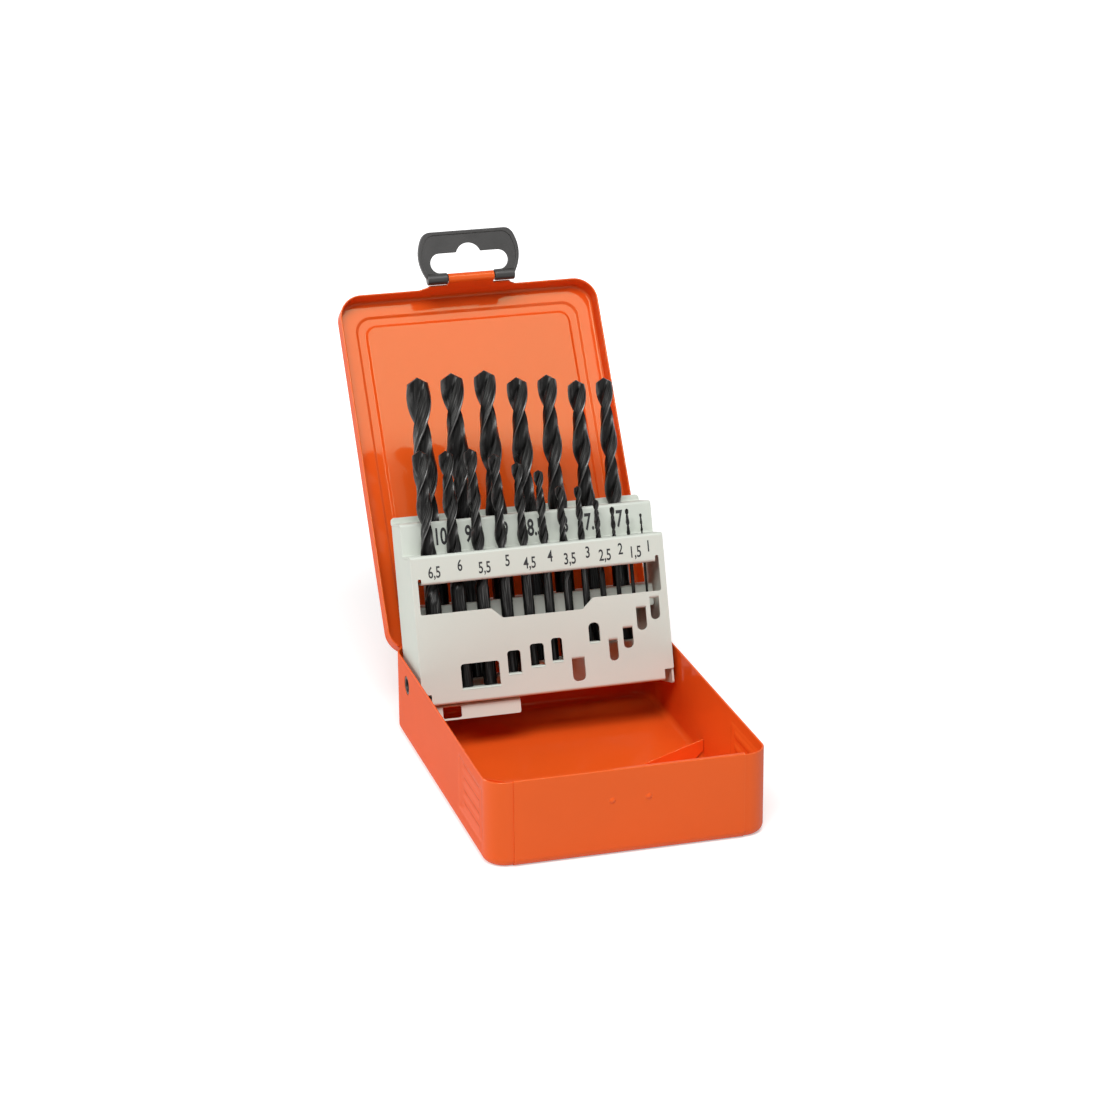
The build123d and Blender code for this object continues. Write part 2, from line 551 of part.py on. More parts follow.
def holder_frame():
    """Sides and back of the holder, with the back row's guide shelf and stops."""
    sheet = HOLDER_SHEET
    front, back = sheet + SEAT_GAP, HOLDER_DEPTH - sheet
    step = FRONT_LEDGE + sheet + SEAT_GAP
    outline = make_face(Polyline(
        (front, -SIDE_HEIGHT), (front, -sheet - SEAT_GAP), (step, -sheet - SEAT_GAP),
        (step, RISER - sheet - SEAT_GAP), (back, RISER - sheet - SEAT_GAP),
        (back, -SIDE_HEIGHT), close=True))
    for corner in ((front, -sheet - SEAT_GAP), (step, RISER - sheet - SEAT_GAP)):
        outline = chamfer(outline.vertices().sort_by_distance((*corner, 0))[0], BEND_RADIUS)
    frame = both_sides(extrude_x(outline, HOLDER_HALF - sheet, HOLDER_HALF))
    frame += box_between(-HOLDER_HALF, HOLDER_HALF, back, HOLDER_DEPTH, -SIDE_HEIGHT, REAR_GUIDE)
    shelf_half = HOLDER_HALF - 2 * sheet
    frame += box_between(-shelf_half, shelf_half, REAR_GUIDE_FRONT, back,
                         REAR_GUIDE - sheet, REAR_GUIDE)
    frame += box_between(-shelf_half, shelf_half, REAR_GUIDE_FRONT, REAR_GUIDE_FRONT + sheet,
                         REAR_GUIDE - REAR_GUIDE_LIP, REAR_GUIDE)
    for height in sorted({drill[-1] for drill in BACK_ROW} - {BRACKET_TOP}):
        sizes = [drill[0] for drill in BACK_ROW if drill[-1] == height]
        x0 = BACK_PLACES[sizes[0]] - sizes[0] / 2 - REAR_TAB_MARGIN
        x1 = BACK_PLACES[sizes[-1]] + sizes[-1] / 2 + REAR_TAB_MARGIN
        frame -= box_between(x0, x1, back, HOLDER_DEPTH, height, height + REAR_TAB)
        frame += box_between(x0, x1, HOLDER_DEPTH - REAR_TAB, HOLDER_DEPTH,
                             height - sheet, height)
    return frame - drill_holes(BACK_PLACES, BACK_ROW_DEPTH, REAR_GUIDE)


def bosses():
    """Pivot bosses on the holder's sides, turning in the tray's holes."""
    end = TRAY_WIDTH / 2 - SEAT_GAP
    return both_sides(rod_x(BOSS_RADIUS, HOLDER_HALF, end, PIVOT_DEPTH, PIVOT_HEIGHT))


def stop_bracket():
    """Shelf under the longest drill with a slotted lip turned down in front."""
    back = HOLDER_DEPTH - HOLDER_SHEET
    bracket = box_between(BRACKET_LEFT, BRACKET_RIGHT, BRACKET_FRONT, back,
                          BRACKET_TOP - HOLDER_SHEET, BRACKET_TOP)
    bracket += box_between(BRACKET_LEFT, BRACKET_RIGHT, BRACKET_FRONT,
                           BRACKET_FRONT + HOLDER_SHEET, BRACKET_TOP - BRACKET_LIP, BRACKET_TOP)
    front_corner = bracket.edges().filter_by(Axis.X).sort_by_distance(
        (BRACKET_LEFT, BRACKET_FRONT, BRACKET_TOP))[0]
    bracket = fillet(front_corner, BEND_RADIUS)
    width, height = BRACKET_SLOT
    slot_z = BRACKET_TOP - BRACKET_LIP / 2
    slot = Pos(BRACKET_LEFT + BRACKET_SLOT_INSET, slot_z) * RectangleRounded(
        width, height, BEND_RADIUS * 2)
    return bracket - Pos(0, BRACKET_FRONT, 0) * extrude(
        Plane.XZ * slot, amount=2 * HOLDER_SHEET, both=True)


# ---- drills ---------------------------------------------------------------------------------------------
def flute_section(radius):
    """Corners of the fluted section: two lands and the web, as radius and angle pairs."""
    half = LAND_ANGLE / 2
    corners = []
    for side in (90.0, 270.0):
        corners += [(radius, side - half), (radius, side), (radius, side + half),
                    (radius * WEB_SHARE, side + 90.0)]
    return corners


def fluted_body(radius, foot, tip, neck):
    """Solid of flat triangles: the section carried up the drill and turned as it rises."""
    lead = math.pi * 2 * radius / math.tan(math.radians(HELIX_ANGLE))
    section = flute_section(radius)
    rings = max(2, math.ceil((tip - foot) / lead * 360 / FLUTE_STEP))

    def corner(height, size, angle):
        turned = math.radians(angle + NECK_FACING + 360 * (height - tip + neck) / lead)
        return Vector(size * math.cos(turned), size * math.sin(turned), height)

    levels = []
    for ring in range(rings + 1):
        share = ring / rings
        top = [tip - size * POINT_SLOPE for size, _ in section]
        levels.append([corner(foot + (crown - foot) * share, size, angle)
                       for crown, (size, angle) in zip(top, section)])
    count = len(section)
    faces = [Face(Wire.make_polygon(levels[0]))]
    for low, high in zip(levels, levels[1:]):
        for index in range(count):
            after = (index + 1) % count
            faces.append(Face(Wire.make_polygon([low[index], low[after], high[after]])))
            faces.append(Face(Wire.make_polygon([low[index], high[after], high[index]])))
    point = Vector(0, 0, tip)
    for index in range(count):
        after = (index + 1) % count
        faces.append(Face(Wire.make_polygon([levels[-1][index], levels[-1][after], point])))
    return Solid(Shell(faces))


def drill_name(diameter):
    """Node name of a drill, by its diameter in tenths of a millimetre."""
    return f"drill_{round(diameter * 10):03d}"


def drill(diameter, length, flute, neck):
    """Twist drill standing on the end of its shank."""
    radius = diameter / 2
    shank = length - flute
    body = extrude(RegularPolygon(radius, ROUND_SIDES), amount=shank)
    return body + fluted_body(radius, shank, length, neck)


def main():
    """Write one STEP file for each piece."""
    os.makedirs("parts", exist_ok=True)
    pieces = {
        "tray": tray(),
        "front_panel": front_panel(),
        "holder_rests": both_sides(rest()),
        "hinge_pin": hinge_pin(),
        "lid": open_lid(lid_shut()),
        "hanger": place_hanger(hanger()),
        "holder_face": place_holder(holder_face()),
        "holder_frame": place_holder(holder_frame()),
        "holder_bosses": place_holder(bosses()),
        "stop_bracket": place_holder(stop_bracket()),
    }
    for diameter, length, flute, neck, stop in BACK_ROW:
        place = Pos(BACK_PLACES[diameter], BACK_ROW_DEPTH, stop + SEAT_GAP)
        pieces[drill_name(diameter)] = place_holder(place * drill(diameter, length, flute, neck))
    for diameter, length, flute, neck in FRONT_ROW:
        place = Pos(FRONT_PLACES[diameter], FRONT_ROW_DEPTH, front_stop(diameter))
        pieces[drill_name(diameter)] = place_holder(place * drill(diameter, length, flute, neck))
    for name, piece in pieces.items():
        export_step(piece, f"parts/{name}.step")


if __name__ == "__main__":
    main()
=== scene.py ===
"""Looks of a folded sheet-metal drill index: tray, lid, hang tab, stepped holder and drills."""
import logging
import math
from dataclasses import dataclass, field
from enum import Enum
from typing import Callable, Sequence

import bmesh
import bpy
import numpy as np
from mathutils import Matrix, Vector


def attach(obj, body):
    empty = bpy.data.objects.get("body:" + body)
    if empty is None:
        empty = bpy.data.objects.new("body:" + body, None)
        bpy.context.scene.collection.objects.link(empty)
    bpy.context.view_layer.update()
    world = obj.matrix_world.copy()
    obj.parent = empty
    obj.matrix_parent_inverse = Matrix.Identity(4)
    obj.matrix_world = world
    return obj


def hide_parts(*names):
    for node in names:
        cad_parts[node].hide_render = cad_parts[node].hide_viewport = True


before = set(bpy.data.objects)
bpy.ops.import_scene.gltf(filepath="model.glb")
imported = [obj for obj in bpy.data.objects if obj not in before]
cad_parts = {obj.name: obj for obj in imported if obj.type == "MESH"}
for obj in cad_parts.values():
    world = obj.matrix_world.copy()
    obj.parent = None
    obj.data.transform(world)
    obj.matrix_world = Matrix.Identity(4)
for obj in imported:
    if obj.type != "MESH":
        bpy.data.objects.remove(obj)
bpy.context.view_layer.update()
LOG = logging.getLogger("drill_index")
MM = 0.001
Point = tuple[float, float]
Loop = list[Point]


class Body(Enum):
    """Moving bodies of the case."""

    TRAY = "tray"
    LID = "lid"
    HANGER = "hanger"
    HOLDER = "holder"


# ---- shader building ------------------------------------------------------------------------
class NodeBench:
    """Adds and links nodes of one tree.

    Args:
        tree: the node tree to work on.
    """

    def __init__(self, tree: bpy.types.NodeTree) -> None:
        self.tree = tree

    def add(self, kind: str, inputs: dict | None = None, **settings: object) -> bpy.types.Node:
        """Add a node.

        Args:
            kind: the node's type name.
            inputs: values or sockets for its inputs, by name or number.
            settings: plain properties of the node.

        Returns:
            The new node.
        """
        node = self.tree.nodes.new(kind)
        for key, value in settings.items():
            setattr(node, key, value)
        for key, value in (inputs or {}).items():
            if isinstance(value, bpy.types.NodeSocket):
                self.tree.links.new(value, node.inputs[key])
            else:
                node.inputs[key].default_value = value
        return node

    def mix(self, factor: bpy.types.NodeSocket, low: object, high: object) -> bpy.types.NodeSocket:
        """Colour between two, by a mask.

        Args:
            factor: the mask.
            low: colour or socket where the mask is 0.
            high: colour or socket where it is 1.

        Returns:
            The mixed colour.
        """
        node = self.add("ShaderNodeMix", {0: factor, 6: low, 7: high}, data_type="RGBA")
        return node.outputs[2]

    def span(self, value: bpy.types.NodeSocket, low: float, high: float) -> bpy.types.NodeSocket:
        """Stretch a mask of 0 to 1 to another range.

        Args:
            value: the mask.
            low: result at 0.
            high: result at 1.

        Returns:
            The stretched value.
        """
        return self.add("ShaderNodeMapRange", {0: value, 3: low, 4: high}).outputs[0]

    def seen(self) -> bpy.types.NodeSocket:
        """Mask of the rays that show a surface to the camera, straight or mirrored."""
        path = self.add("ShaderNodeLightPath").outputs
        direct = self.add("ShaderNodeMath", {0: path["Is Camera Ray"],
                                             1: path["Is Glossy Ray"]}, operation="MAXIMUM")
        return self.add("ShaderNodeMath", {0: direct.outputs[0],
                                           1: path["Is Transmission Ray"]},
                        operation="MAXIMUM").outputs[0]


def shader_group(name: str, inputs: dict[str, float], outputs: Sequence[str]) -> tuple:
    """Start a shader node group.

    Args:
        name: the group's name.
        inputs: names and standard values of its inputs.
        outputs: names of its outputs.

    Returns:
        The tree, a bench on it, its input node and its output node.
    """
    tree = bpy.data.node_groups.new(name, "ShaderNodeTree")
    for title, value in inputs.items():
        socket = tree.interface.new_socket(title, in_out="INPUT", socket_type="NodeSocketFloat")
        socket.default_value = value
    for title in outputs:
        tree.interface.new_socket(title, in_out="OUTPUT", socket_type="NodeSocketFloat")
    bench = NodeBench(tree)
    return tree, bench, bench.add("NodeGroupInput"), bench.add("NodeGroupOutput")


class SharedEffects:
    """Shader groups that more than one finish uses, each built once."""

    made: dict[str, bpy.types.NodeTree] = {}

    @classmethod
    def get(cls, name: str) -> bpy.types.NodeTree:
        """Give a group by name, building it at first use."""
        if name not in cls.made:
            cls.made[name] = getattr(cls, name)()
        return cls.made[name]

    @staticmethod
    def sprayed_skin() -> bpy.types.NodeTree:
        """Height of a fine spray texture, with its waves per metre as input."""
        tree, bench, given, result = shader_group(
            "sprayed_skin", {"Waves": 500.0, "Dust": 4000.0}, ["Height"])
        place = bench.add("ShaderNodeTexCoord").outputs["Object"]
        waves = bench.add("ShaderNodeTexNoise",
                          {"Vector": place, "Scale": given.outputs["Waves"], "Detail": 2.0})
        dust = bench.add("ShaderNodeTexNoise",
                         {"Vector": place, "Scale": given.outputs["Dust"], "Detail": 1.0})
        both = bench.add("ShaderNodeMath", {0: dust.outputs[0], 1: 0.15, 2: waves.outputs[0]},
                         operation="MULTIPLY_ADD")
        tree.links.new(both.outputs[0], result.inputs["Height"])
        return tree

    @staticmethod
    def handling() -> bpy.types.NodeTree:
        """Soft patches left by hands and wiping, as a mask of 0 to 1."""
        tree, bench, given, result = shader_group(
            "handling", {"Patches": 30.0, "Sharpness": 0.6}, ["Mask"])
        place = bench.add("ShaderNodeTexCoord").outputs["Object"]
        cloud = bench.add("ShaderNodeTexNoise",
                          {"Vector": place, "Scale": given.outputs["Patches"], "Detail": 5.0,
                           "Roughness": given.outputs["Sharpness"]})
        mask = bench.add("ShaderNodeMapRange", {0: cloud.outputs[0], 1: 0.25, 2: 0.75},
                         interpolation_type="SMOOTHSTEP")
        tree.links.new(mask.outputs[0], result.inputs["Mask"])
        return tree

    @staticmethod
    def edge_light() -> bpy.types.NodeTree:
        """Mask of the edges, where a finish is thinnest."""
        tree, bench, given, result = shader_group(
            "edge_light", {"Radius": 0.0006}, ["Mask"])
        soft = bench.add("ShaderNodeBevel", {"Radius": given.outputs["Radius"]}, samples=4)
        sharp = bench.add("ShaderNodeNewGeometry")
        match = bench.add("ShaderNodeVectorMath",
                          {0: soft.outputs[0], 1: sharp.outputs["Normal"]},
                          operation="DOT_PRODUCT")
        mask = bench.add("ShaderNodeMapRange", {0: match.outputs["Value"], 1: 0.99, 2: 0.82})
        tree.links.new(mask.outputs[0], result.inputs["Mask"])
        return tree

    @staticmethod
    def streaks() -> bpy.types.NodeTree:
        """Fine lines drawn along X, as a height."""
        tree, bench, given, result = shader_group(
            "streaks", {"Lines": 1500.0, "Length": 40.0}, ["Height"])
        place = bench.add("ShaderNodeTexCoord").outputs["Object"]
        scale = bench.add("ShaderNodeCombineXYZ", {0: given.outputs["Length"],
                                                   1: given.outputs["Lines"],
                                                   2: given.outputs["Lines"]})
        drawn = bench.add("ShaderNodeVectorMath", {0: place, 1: scale.outputs[0]},
                          operation="MULTIPLY")
        noise = bench.add("ShaderNodeTexNoise",
                          {"Vector": drawn.outputs[0], "Scale": 1.0, "Detail": 3.0})
        tree.links.new(noise.outputs[0], result.inputs["Height"])
        return tree


MATERIALS: dict[str, bpy.types.Material] = {}


@dataclass(frozen=True)
class Finish:
    """A finish with one material.

    Attributes:
        title: the material's name.
        slot: the record's slot, or None for the studio; not used.
        color: linear base colour.
        roughness: least and greatest roughness.
    """

    title: str
    slot: str | None
    color: tuple[float, float, float]
    roughness: tuple[float, float]

    def material(self) -> bpy.types.Material:
        """Give the material, building it at first use."""
        if self.title not in MATERIALS:
            material = bpy.data.materials.new(self.title)
            material.use_nodes = True
            material.node_tree.nodes.clear()
            bench = NodeBench(material.node_tree)
            output = bench.add("ShaderNodeOutputMaterial")
            shader = self.surface(bench)
            material.node_tree.links.new(shader.outputs[0], output.inputs["Surface"])
            material.diffuse_color = (*self.color, 1.0)
            MATERIALS[self.title] = material
        return MATERIALS[self.title]

    def effect(self, bench: NodeBench, name: str, **values: float) -> bpy.types.Node:
        """Place a shared group with its own values."""
        node = bench.add("ShaderNodeGroup", node_tree=SharedEffects.get(name))
        for key, value in values.items():
            node.inputs[key].default_value = value
        return node

    def shade(self, share: float) -> tuple[float, float, float, float]:
        """Give the base colour times a number, with an alpha of 1."""
        return (*(channel * share for channel in self.color), 1.0)

    def bump(self, bench: NodeBench, height: bpy.types.NodeSocket, strength: float,
             depth: float) -> bpy.types.NodeSocket:
        """Turn a height into a normal.

        Args:
            bench: the material's bench.
            height: the height.
            strength: how strong it looks.
            depth: its depth in metres.

        Returns:
            The normal.
        """
        node = bench.add("ShaderNodeBump",
                         {"Strength": strength, "Distance": depth, "Height": height})
        return node.outputs[0]

    def surface(self, bench: NodeBench) -> bpy.types.Node:
        """Build the shader. Each kind of finish has its own."""
        raise NotImplementedError


@dataclass(frozen=True)
class SprayedPaint(Finish):
    """Stoved paint on sheet steel.

    Attributes:
        waves: spray texture's waves per metre.
        relief: strength of the spray texture.
        depth: its depth in metres.
        gloss: how much light the paint mirrors.
        slant_gloss: the same at a slant.
        slant: facing values between which the gloss falls.
        tint: colour of what it mirrors.
        edge: colour where the paint is thin.
        thinnest: share of that colour at an edge.
        patches: handled patches per metre.
        dimmest: shade of a handled patch.
    """

    waves: float = 500.0
    relief: float = 0.06
    depth: float = 0.0002
    gloss: float = 0.3
    slant_gloss: float = 0.006
    slant: tuple[float, float] = (0.35, 0.75)
    tint: tuple[float, float, float] = (1.0, 1.0, 1.0)
    edge: tuple[float, float, float] = (0.9, 0.3, 0.1)
    thinnest: float = 0.3
    patches: float = 22.0
    dimmest: float = 0.96

    def surface(self, bench: NodeBench) -> bpy.types.Node:
        """Build paint with spray texture, handled patches and thin edges."""
        patches = self.effect(bench, "handling", Patches=self.patches).outputs["Mask"]
        edges = self.effect(bench, "edge_light").outputs["Mask"]
        body = bench.mix(patches, self.shade(self.dimmest), self.shade(1.0))
        thin = bench.span(edges, 0.0, self.thinnest)
        skin = self.effect(bench, "sprayed_skin", Waves=self.waves).outputs["Height"]
        slant = bench.add("ShaderNodeLayerWeight", {"Blend": 0.5}).outputs["Facing"]
        gloss = bench.add("ShaderNodeMapRange", {0: slant, 1: self.slant[0], 2: self.slant[1],
                                                 3: self.gloss, 4: self.slant_gloss})
        return bench.add("ShaderNodeBsdfPrincipled", {
            "Base Color": bench.mix(thin, body, (*self.edge, 1.0)),
            "Roughness": bench.span(patches, *self.roughness),
            "Normal": self.bump(bench, skin, self.relief, self.depth),
            "Specular IOR Level": gloss.outputs[0],
            "Specular Tint": (*self.tint, 1.0)})


@dataclass(frozen=True)
class BlackOxide(Finish):
    """Steam-blackened high-speed steel. The lands, margins and bright streaks are painted lighter:
    partly ground steel, partly painted highlights.

    Attributes:
        lines: streaks per millimetre across and along the drill.
        cover: noise values between which a streak turns bright, as a painted highlight on a
            grinding line.
        hollow: shade of the flutes, dull and in the painted-highlight streaks.
        dull_land: shade of the lands' dull parts.
        land: colour of their bright streaks, partly ground steel, partly a painted highlight.
        margin: shade of the ground margins, painted bright as a highlight line.
        metal: how metallic it looks.
        gloss: how much light it mirrors besides.
        relief: strength of the streaks.
        depth: their depth in metres.
    """

    lines: tuple[float, float] = (2.1, 0.09)
    cover: tuple[float, float] = (0.42, 0.72)
    hollow: tuple[float, float] = (0.3, 1.8)
    dull_land: float = 0.55
    land: tuple[float, float, float] = (0.085, 0.085, 0.082)
    margin: float = 5.0
    metal: float = 0.75
    gloss: float = 0.3
    relief: float = 0.4
    depth: float = 0.00008

    def surface(self, bench: NodeBench) -> bpy.types.Node:
        """Build dark metal with streaks that follow the flutes, and painted highlights on the
        streaks, lands and margins.
        """
        run = bench.add("ShaderNodeAttribute", attribute_name="run").outputs["Vector"]
        drawn = bench.add("ShaderNodeVectorMath", {0: run, 1: (*self.lines, 1.0)},
                          operation="MULTIPLY").outputs[0]
        streaks = bench.add("ShaderNodeTexNoise", {"Vector": drawn, "Scale": 1.0, "Detail": 4.0,
                                                   "Roughness": 0.65}).outputs[0]
        bright = bench.add("ShaderNodeMapRange",
                           {0: streaks, 1: self.cover[0], 2: self.cover[1]},
                           interpolation_type="SMOOTHSTEP").outputs[0]
        ground = bench.add("ShaderNodeAttribute", attribute_name="land").outputs["Fac"]
        on_land = bench.add("ShaderNodeMapRange", {0: ground, 2: 0.5}).outputs[0]
        margin_highlight_mask = bench.add("ShaderNodeMapRange", {0: ground, 1: 0.5}).outputs[0]
        # Painted highlights: the bright streaks, the lighter lands and the margins stand in for
        # reflections of the lamps.
        hollow = bench.mix(bright, *(self.shade(share) for share in self.hollow))
        land = bench.mix(bright, self.shade(self.dull_land), (*self.land, 1.0))
        body = bench.mix(on_land, hollow, land)
        return bench.add("ShaderNodeBsdfPrincipled", {
            "Base Color": bench.mix(margin_highlight_mask, body, self.shade(self.margin)),
            "Metallic": self.metal, "Specular IOR Level": self.gloss,
            "Roughness": bench.span(bright, *self.roughness),
            "Normal": self.bump(bench, streaks, self.relief, self.depth)})


@dataclass(frozen=True)
class Grained(Finish):
    """Fine-grained surface, worn lighter on its edges.

    Attributes:
        patches: handled patches per metre.
        shades: darkest and lightest shade of the patches.
        worn: shade of a worn edge.
        edge: radius of a worn edge in metres.
        waves: coarse grain's waves per metre.
        dust: fine grain's waves per metre.
        relief: strength of the grain.
        metal: how metallic it looks.
    """

    patches: float = 60.0
    shades: tuple[float, float] = (0.85, 1.2)
    worn: float = 2.5
    edge: float = 0.0006
    waves: float = 2200.0
    dust: float = 7000.0
    relief: float = 0.25
    metal: float = 0.0

    def surface(self, bench: NodeBench) -> bpy.types.Node:
        """Build a grained surface with worn edges."""
        patches = self.effect(bench, "handling", Patches=self.patches).outputs["Mask"]
        edges = self.effect(bench, "edge_light", Radius=self.edge).outputs["Mask"]
        body = bench.mix(patches, *(self.shade(share) for share in self.shades))
        grain = self.effect(bench, "sprayed_skin", Waves=self.waves, Dust=self.dust)
        return bench.add("ShaderNodeBsdfPrincipled", {
            "Base Color": bench.mix(bench.span(edges, 0.0, 0.5), body, self.shade(self.worn)),
            "Metallic": self.metal, "Roughness": bench.span(patches, *self.roughness),
            "Normal": self.bump(bench, grain.outputs["Height"], self.relief, 0.0001)})


@dataclass(frozen=True)
class DrawnWire(Finish):
    """Plain drawn steel wire."""

    def surface(self, bench: NodeBench) -> bpy.types.Node:
        """Build bright metal with drawing lines."""
        patches = self.effect(bench, "handling", Patches=90.0).outputs["Mask"]
        lines = self.effect(bench, "streaks").outputs["Height"]
        return bench.add("ShaderNodeBsdfPrincipled", {
            "Base Color": bench.mix(patches, self.shade(0.8), self.shade(1.05)),
            "Metallic": 1.0,
            "Roughness": bench.span(patches, *self.roughness),
            "Normal": self.bump(bench, lines, 0.15, 0.0001)})


@dataclass(frozen=True)
class PrintedInk(Finish):
    """Matt ink of the size numbers."""

    def surface(self, bench: NodeBench) -> bpy.types.Node:
        """Build matt ink that is a little thin in places."""
        patches = self.effect(bench, "handling", Patches=700.0).outputs["Mask"]
        return bench.add("ShaderNodeBsdfPrincipled", {
            "Base Color": bench.mix(patches, self.shade(0.8), self.shade(1.6)),
            "Roughness": bench.span(patches, *self.roughness)})


@dataclass(frozen=True)
class PaleFloor(Finish):
    """Plain pale floor that shows white to the camera and keeps a soft shadow.

    Attributes:
        lift: its own light where the case stands.
        reach: distances in metres between which that light grows to 1.
    """

    lift: float = 0.42
    reach: tuple[float, float] = (0.12, 0.8)

    def surface(self, bench: NodeBench) -> bpy.types.Node:
        """Build a matt floor that turns pure white away from the case."""
        place_on_floor = bench.add("ShaderNodeTexCoord").outputs["Object"]
        far = bench.add("ShaderNodeVectorMath", {0: place_on_floor}, operation="LENGTH")
        lift = bench.add("ShaderNodeMapRange",
                         {0: far.outputs["Value"], 1: self.reach[0], 2: self.reach[1],
                          3: self.lift, 4: 1.0},
                         interpolation_type="SMOOTHSTEP")
        glow = bench.add("ShaderNodeMath", {0: bench.seen(), 1: lift.outputs[0]},
                         operation="MULTIPLY")
        return bench.add("ShaderNodeBsdfPrincipled", {
            "Base Color": self.shade(1.0), "Roughness": self.roughness[1],
            "Specular IOR Level": 0.0,
            "Emission Color": (1.0, 1.0, 1.0, 1.0), "Emission Strength": glow.outputs[0]})


ORANGE = SprayedPaint("orange_gloss_paint", "orange_paint", (0.80, 0.099, 0.012), (0.05, 0.09),
                      waves=420.0, relief=0.03, gloss=0.27, tint=(0.5, 1.0, 0.62),
                      edge=(0.85, 0.2, 0.05))
CREAM = SprayedPaint("cream_satin_paint", "cream_paint", (0.64, 0.675, 0.61), (0.28, 0.38),
                     waves=700.0, relief=0.05, edge=(0.8, 0.8, 0.75))
# Drill steel whose colour carries painted highlights on the lands, margins and streaks.
OXIDE_WITH_PAINTED_HIGHLIGHTS = BlackOxide("black_oxide_steel", "drill_steel", (0.020, 0.0195, 0.019), (0.38, 0.22))
# Painted shade: the pivot bosses, pressed from the cream holder sheet, take this dark colour for
# the shade in the tray's pivot holes.
PIVOT_BOSS_SHADE = Grained("blackened_pivot_steel", "drill_steel", (0.03, 0.027, 0.024), (0.35, 0.5),
                patches=300.0, shades=(0.6, 1.6), worn=5.0, edge=0.0003, waves=2500.0,
                dust=9000.0, relief=0.2, metal=0.6)
PLASTIC = Grained("black_moulded_plastic", "black_plastic", (0.020, 0.019, 0.018), (0.34, 0.5))
WIRE = DrawnWire("drawn_wire", "bright_wire", (0.62, 0.61, 0.59), (0.22, 0.34))
INK = PrintedInk("size_number_ink", "black_plastic", (0.012, 0.012, 0.013), (0.5, 0.65))
FLOOR = PaleFloor("pale_floor", None, (0.8, 0.8, 0.8), (0.9, 0.9))


# ---- mesh building, in millimetres ----------------------------------------------------------
def stage(name: str, data: bpy.types.ID) -> bpy.types.Object:
    """Make an object around its mesh, curve, lamp or camera and put it in the scene."""
    obj = bpy.data.objects.new(name, data)
    bpy.context.scene.collection.objects.link(obj)
    return obj


def ease(value: float | np.ndarray) -> float | np.ndarray:
    """Smooth step from 0 to 1."""
    share = np.clip(value, 0.0, 1.0)
    return share * share * (3.0 - 2.0 * share)


def arc(center: Point, radius: float, start: float, end: float, steps: int) -> Loop:
    """Points of an arc.

    Args:
        center: its centre.
        radius: its radius.
        start: first angle in degrees.
        end: last angle in degrees.
        steps: number of chords.

    Returns:
        The points, both ends included.
    """
    angles = np.radians(np.linspace(start, end, steps + 1))
    return [(center[0] + radius * math.cos(a), center[1] + radius * math.sin(a)) for a in angles]


def rounded(points: Loop, radius: float | Sequence[float], steps: int = 6) -> Loop:
    """Round the corners of a closed outline.

    Args:
        points: its corners.
        radius: one radius, or one for each corner.
        steps: chords for each corner.

    Returns:
        The rounded outline.
    """
    radii = [radius] * len(points) if isinstance(radius, (int, float)) else radius
    result: Loop = []
    for index, (point, size) in enumerate(zip(points, radii)):
        corner = Vector(point)
        before = (Vector(points[index - 1]) - corner).normalized()
        after = (Vector(points[(index + 1) % len(points)]) - corner).normalized()
        if size < 1e-6 or abs(before.dot(after)) > 0.9999:
            result.append(point)
            continue
        half = math.acos(max(-1.0, min(1.0, before.dot(after)))) / 2
        start = corner + before * size / math.tan(half)
        center = corner + (before + after).normalized() * size / math.sin(half)
        first = start - center
        last = corner + after * size / math.tan(half) - center
        turn = math.atan2(first.x * last.y - first.y * last.x, first.dot(last))
        for step in range(steps + 1):
            angle = turn * step / steps
            result.append((center.x + first.x * math.cos(angle) - first.y * math.sin(angle),
                           center.y + first.x * math.sin(angle) + first.y * math.cos(angle)))
    return result


def mesh_object(name: str, vertices: Sequence, faces: Sequence) -> bpy.types.Object:
    """Make an object from points in millimetres.

    Args:
        name: the object's name.
        vertices: its points.
        faces: its faces.

    Returns:
        The object, with merged points and outward faces.
    """
    mesh = bpy.data.meshes.new(name)
    mesh.from_pydata([tuple(v) for v in vertices], [], [tuple(f) for f in faces])
    work = bmesh.new()
    work.from_mesh(mesh)
    bmesh.ops.remove_doubles(work, verts=work.verts, dist=1e-4)
    bmesh.ops.recalc_face_normals(work, faces=work.faces)
    work.to_mesh(mesh)
    work.free()
    return stage(name, mesh)


def settle(obj: bpy.types.Object) -> bpy.types.Object:
    """Apply an object's modifiers to its mesh."""
    graph = bpy.context.evaluated_depsgraph_get()
    graph.update()
    mesh = bpy.data.meshes.new_from_object(obj.evaluated_get(graph))
    obj.modifiers.clear()
    old, obj.data = obj.data, mesh
    bpy.data.meshes.remove(old)
    return obj


def cut(obj: bpy.types.Object, cutters: Sequence[bpy.types.Object]) -> bpy.types.Object:
    """Cut solids out of a solid and delete them."""
    for cutter in cutters:
        modifier = obj.modifiers.new("cut", "BOOLEAN")
        modifier.object = cutter
        modifier.operation = "DIFFERENCE"
        modifier.solver = "EXACT"
    settle(obj)
    for cutter in cutters:
        bpy.data.objects.remove(cutter)
    return obj


def join(name: str, parts: Sequence[bpy.types.Object]) -> bpy.types.Object:
    """Put several closed solids into one mesh.

    Args:
        name: the name of the result.
        parts: the solids, which are deleted.

    Returns:
        The joined object.
    """
    work = bmesh.new()
    for part in parts:
        work.from_mesh(part.data)
        bpy.data.objects.remove(part)
    mesh = bpy.data.meshes.new(name)
    work.to_mesh(mesh)
    work.free()
    return stage(name, mesh)


def box_solid(low: Sequence[float], high: Sequence[float]) -> bpy.types.Object:
    """Plain box used to cut with."""
    corners = [(x, y, z) for x in (low[0], high[0]) for y in (low[1], high[1])
               for z in (low[2], high[2])]
    faces = [(0, 1, 3, 2), (4, 6, 7, 5), (0, 4, 5, 1), (2, 3, 7, 6), (0, 2, 6, 4), (1, 5, 7, 3)]
    return mesh_object("cutter", corners, faces)


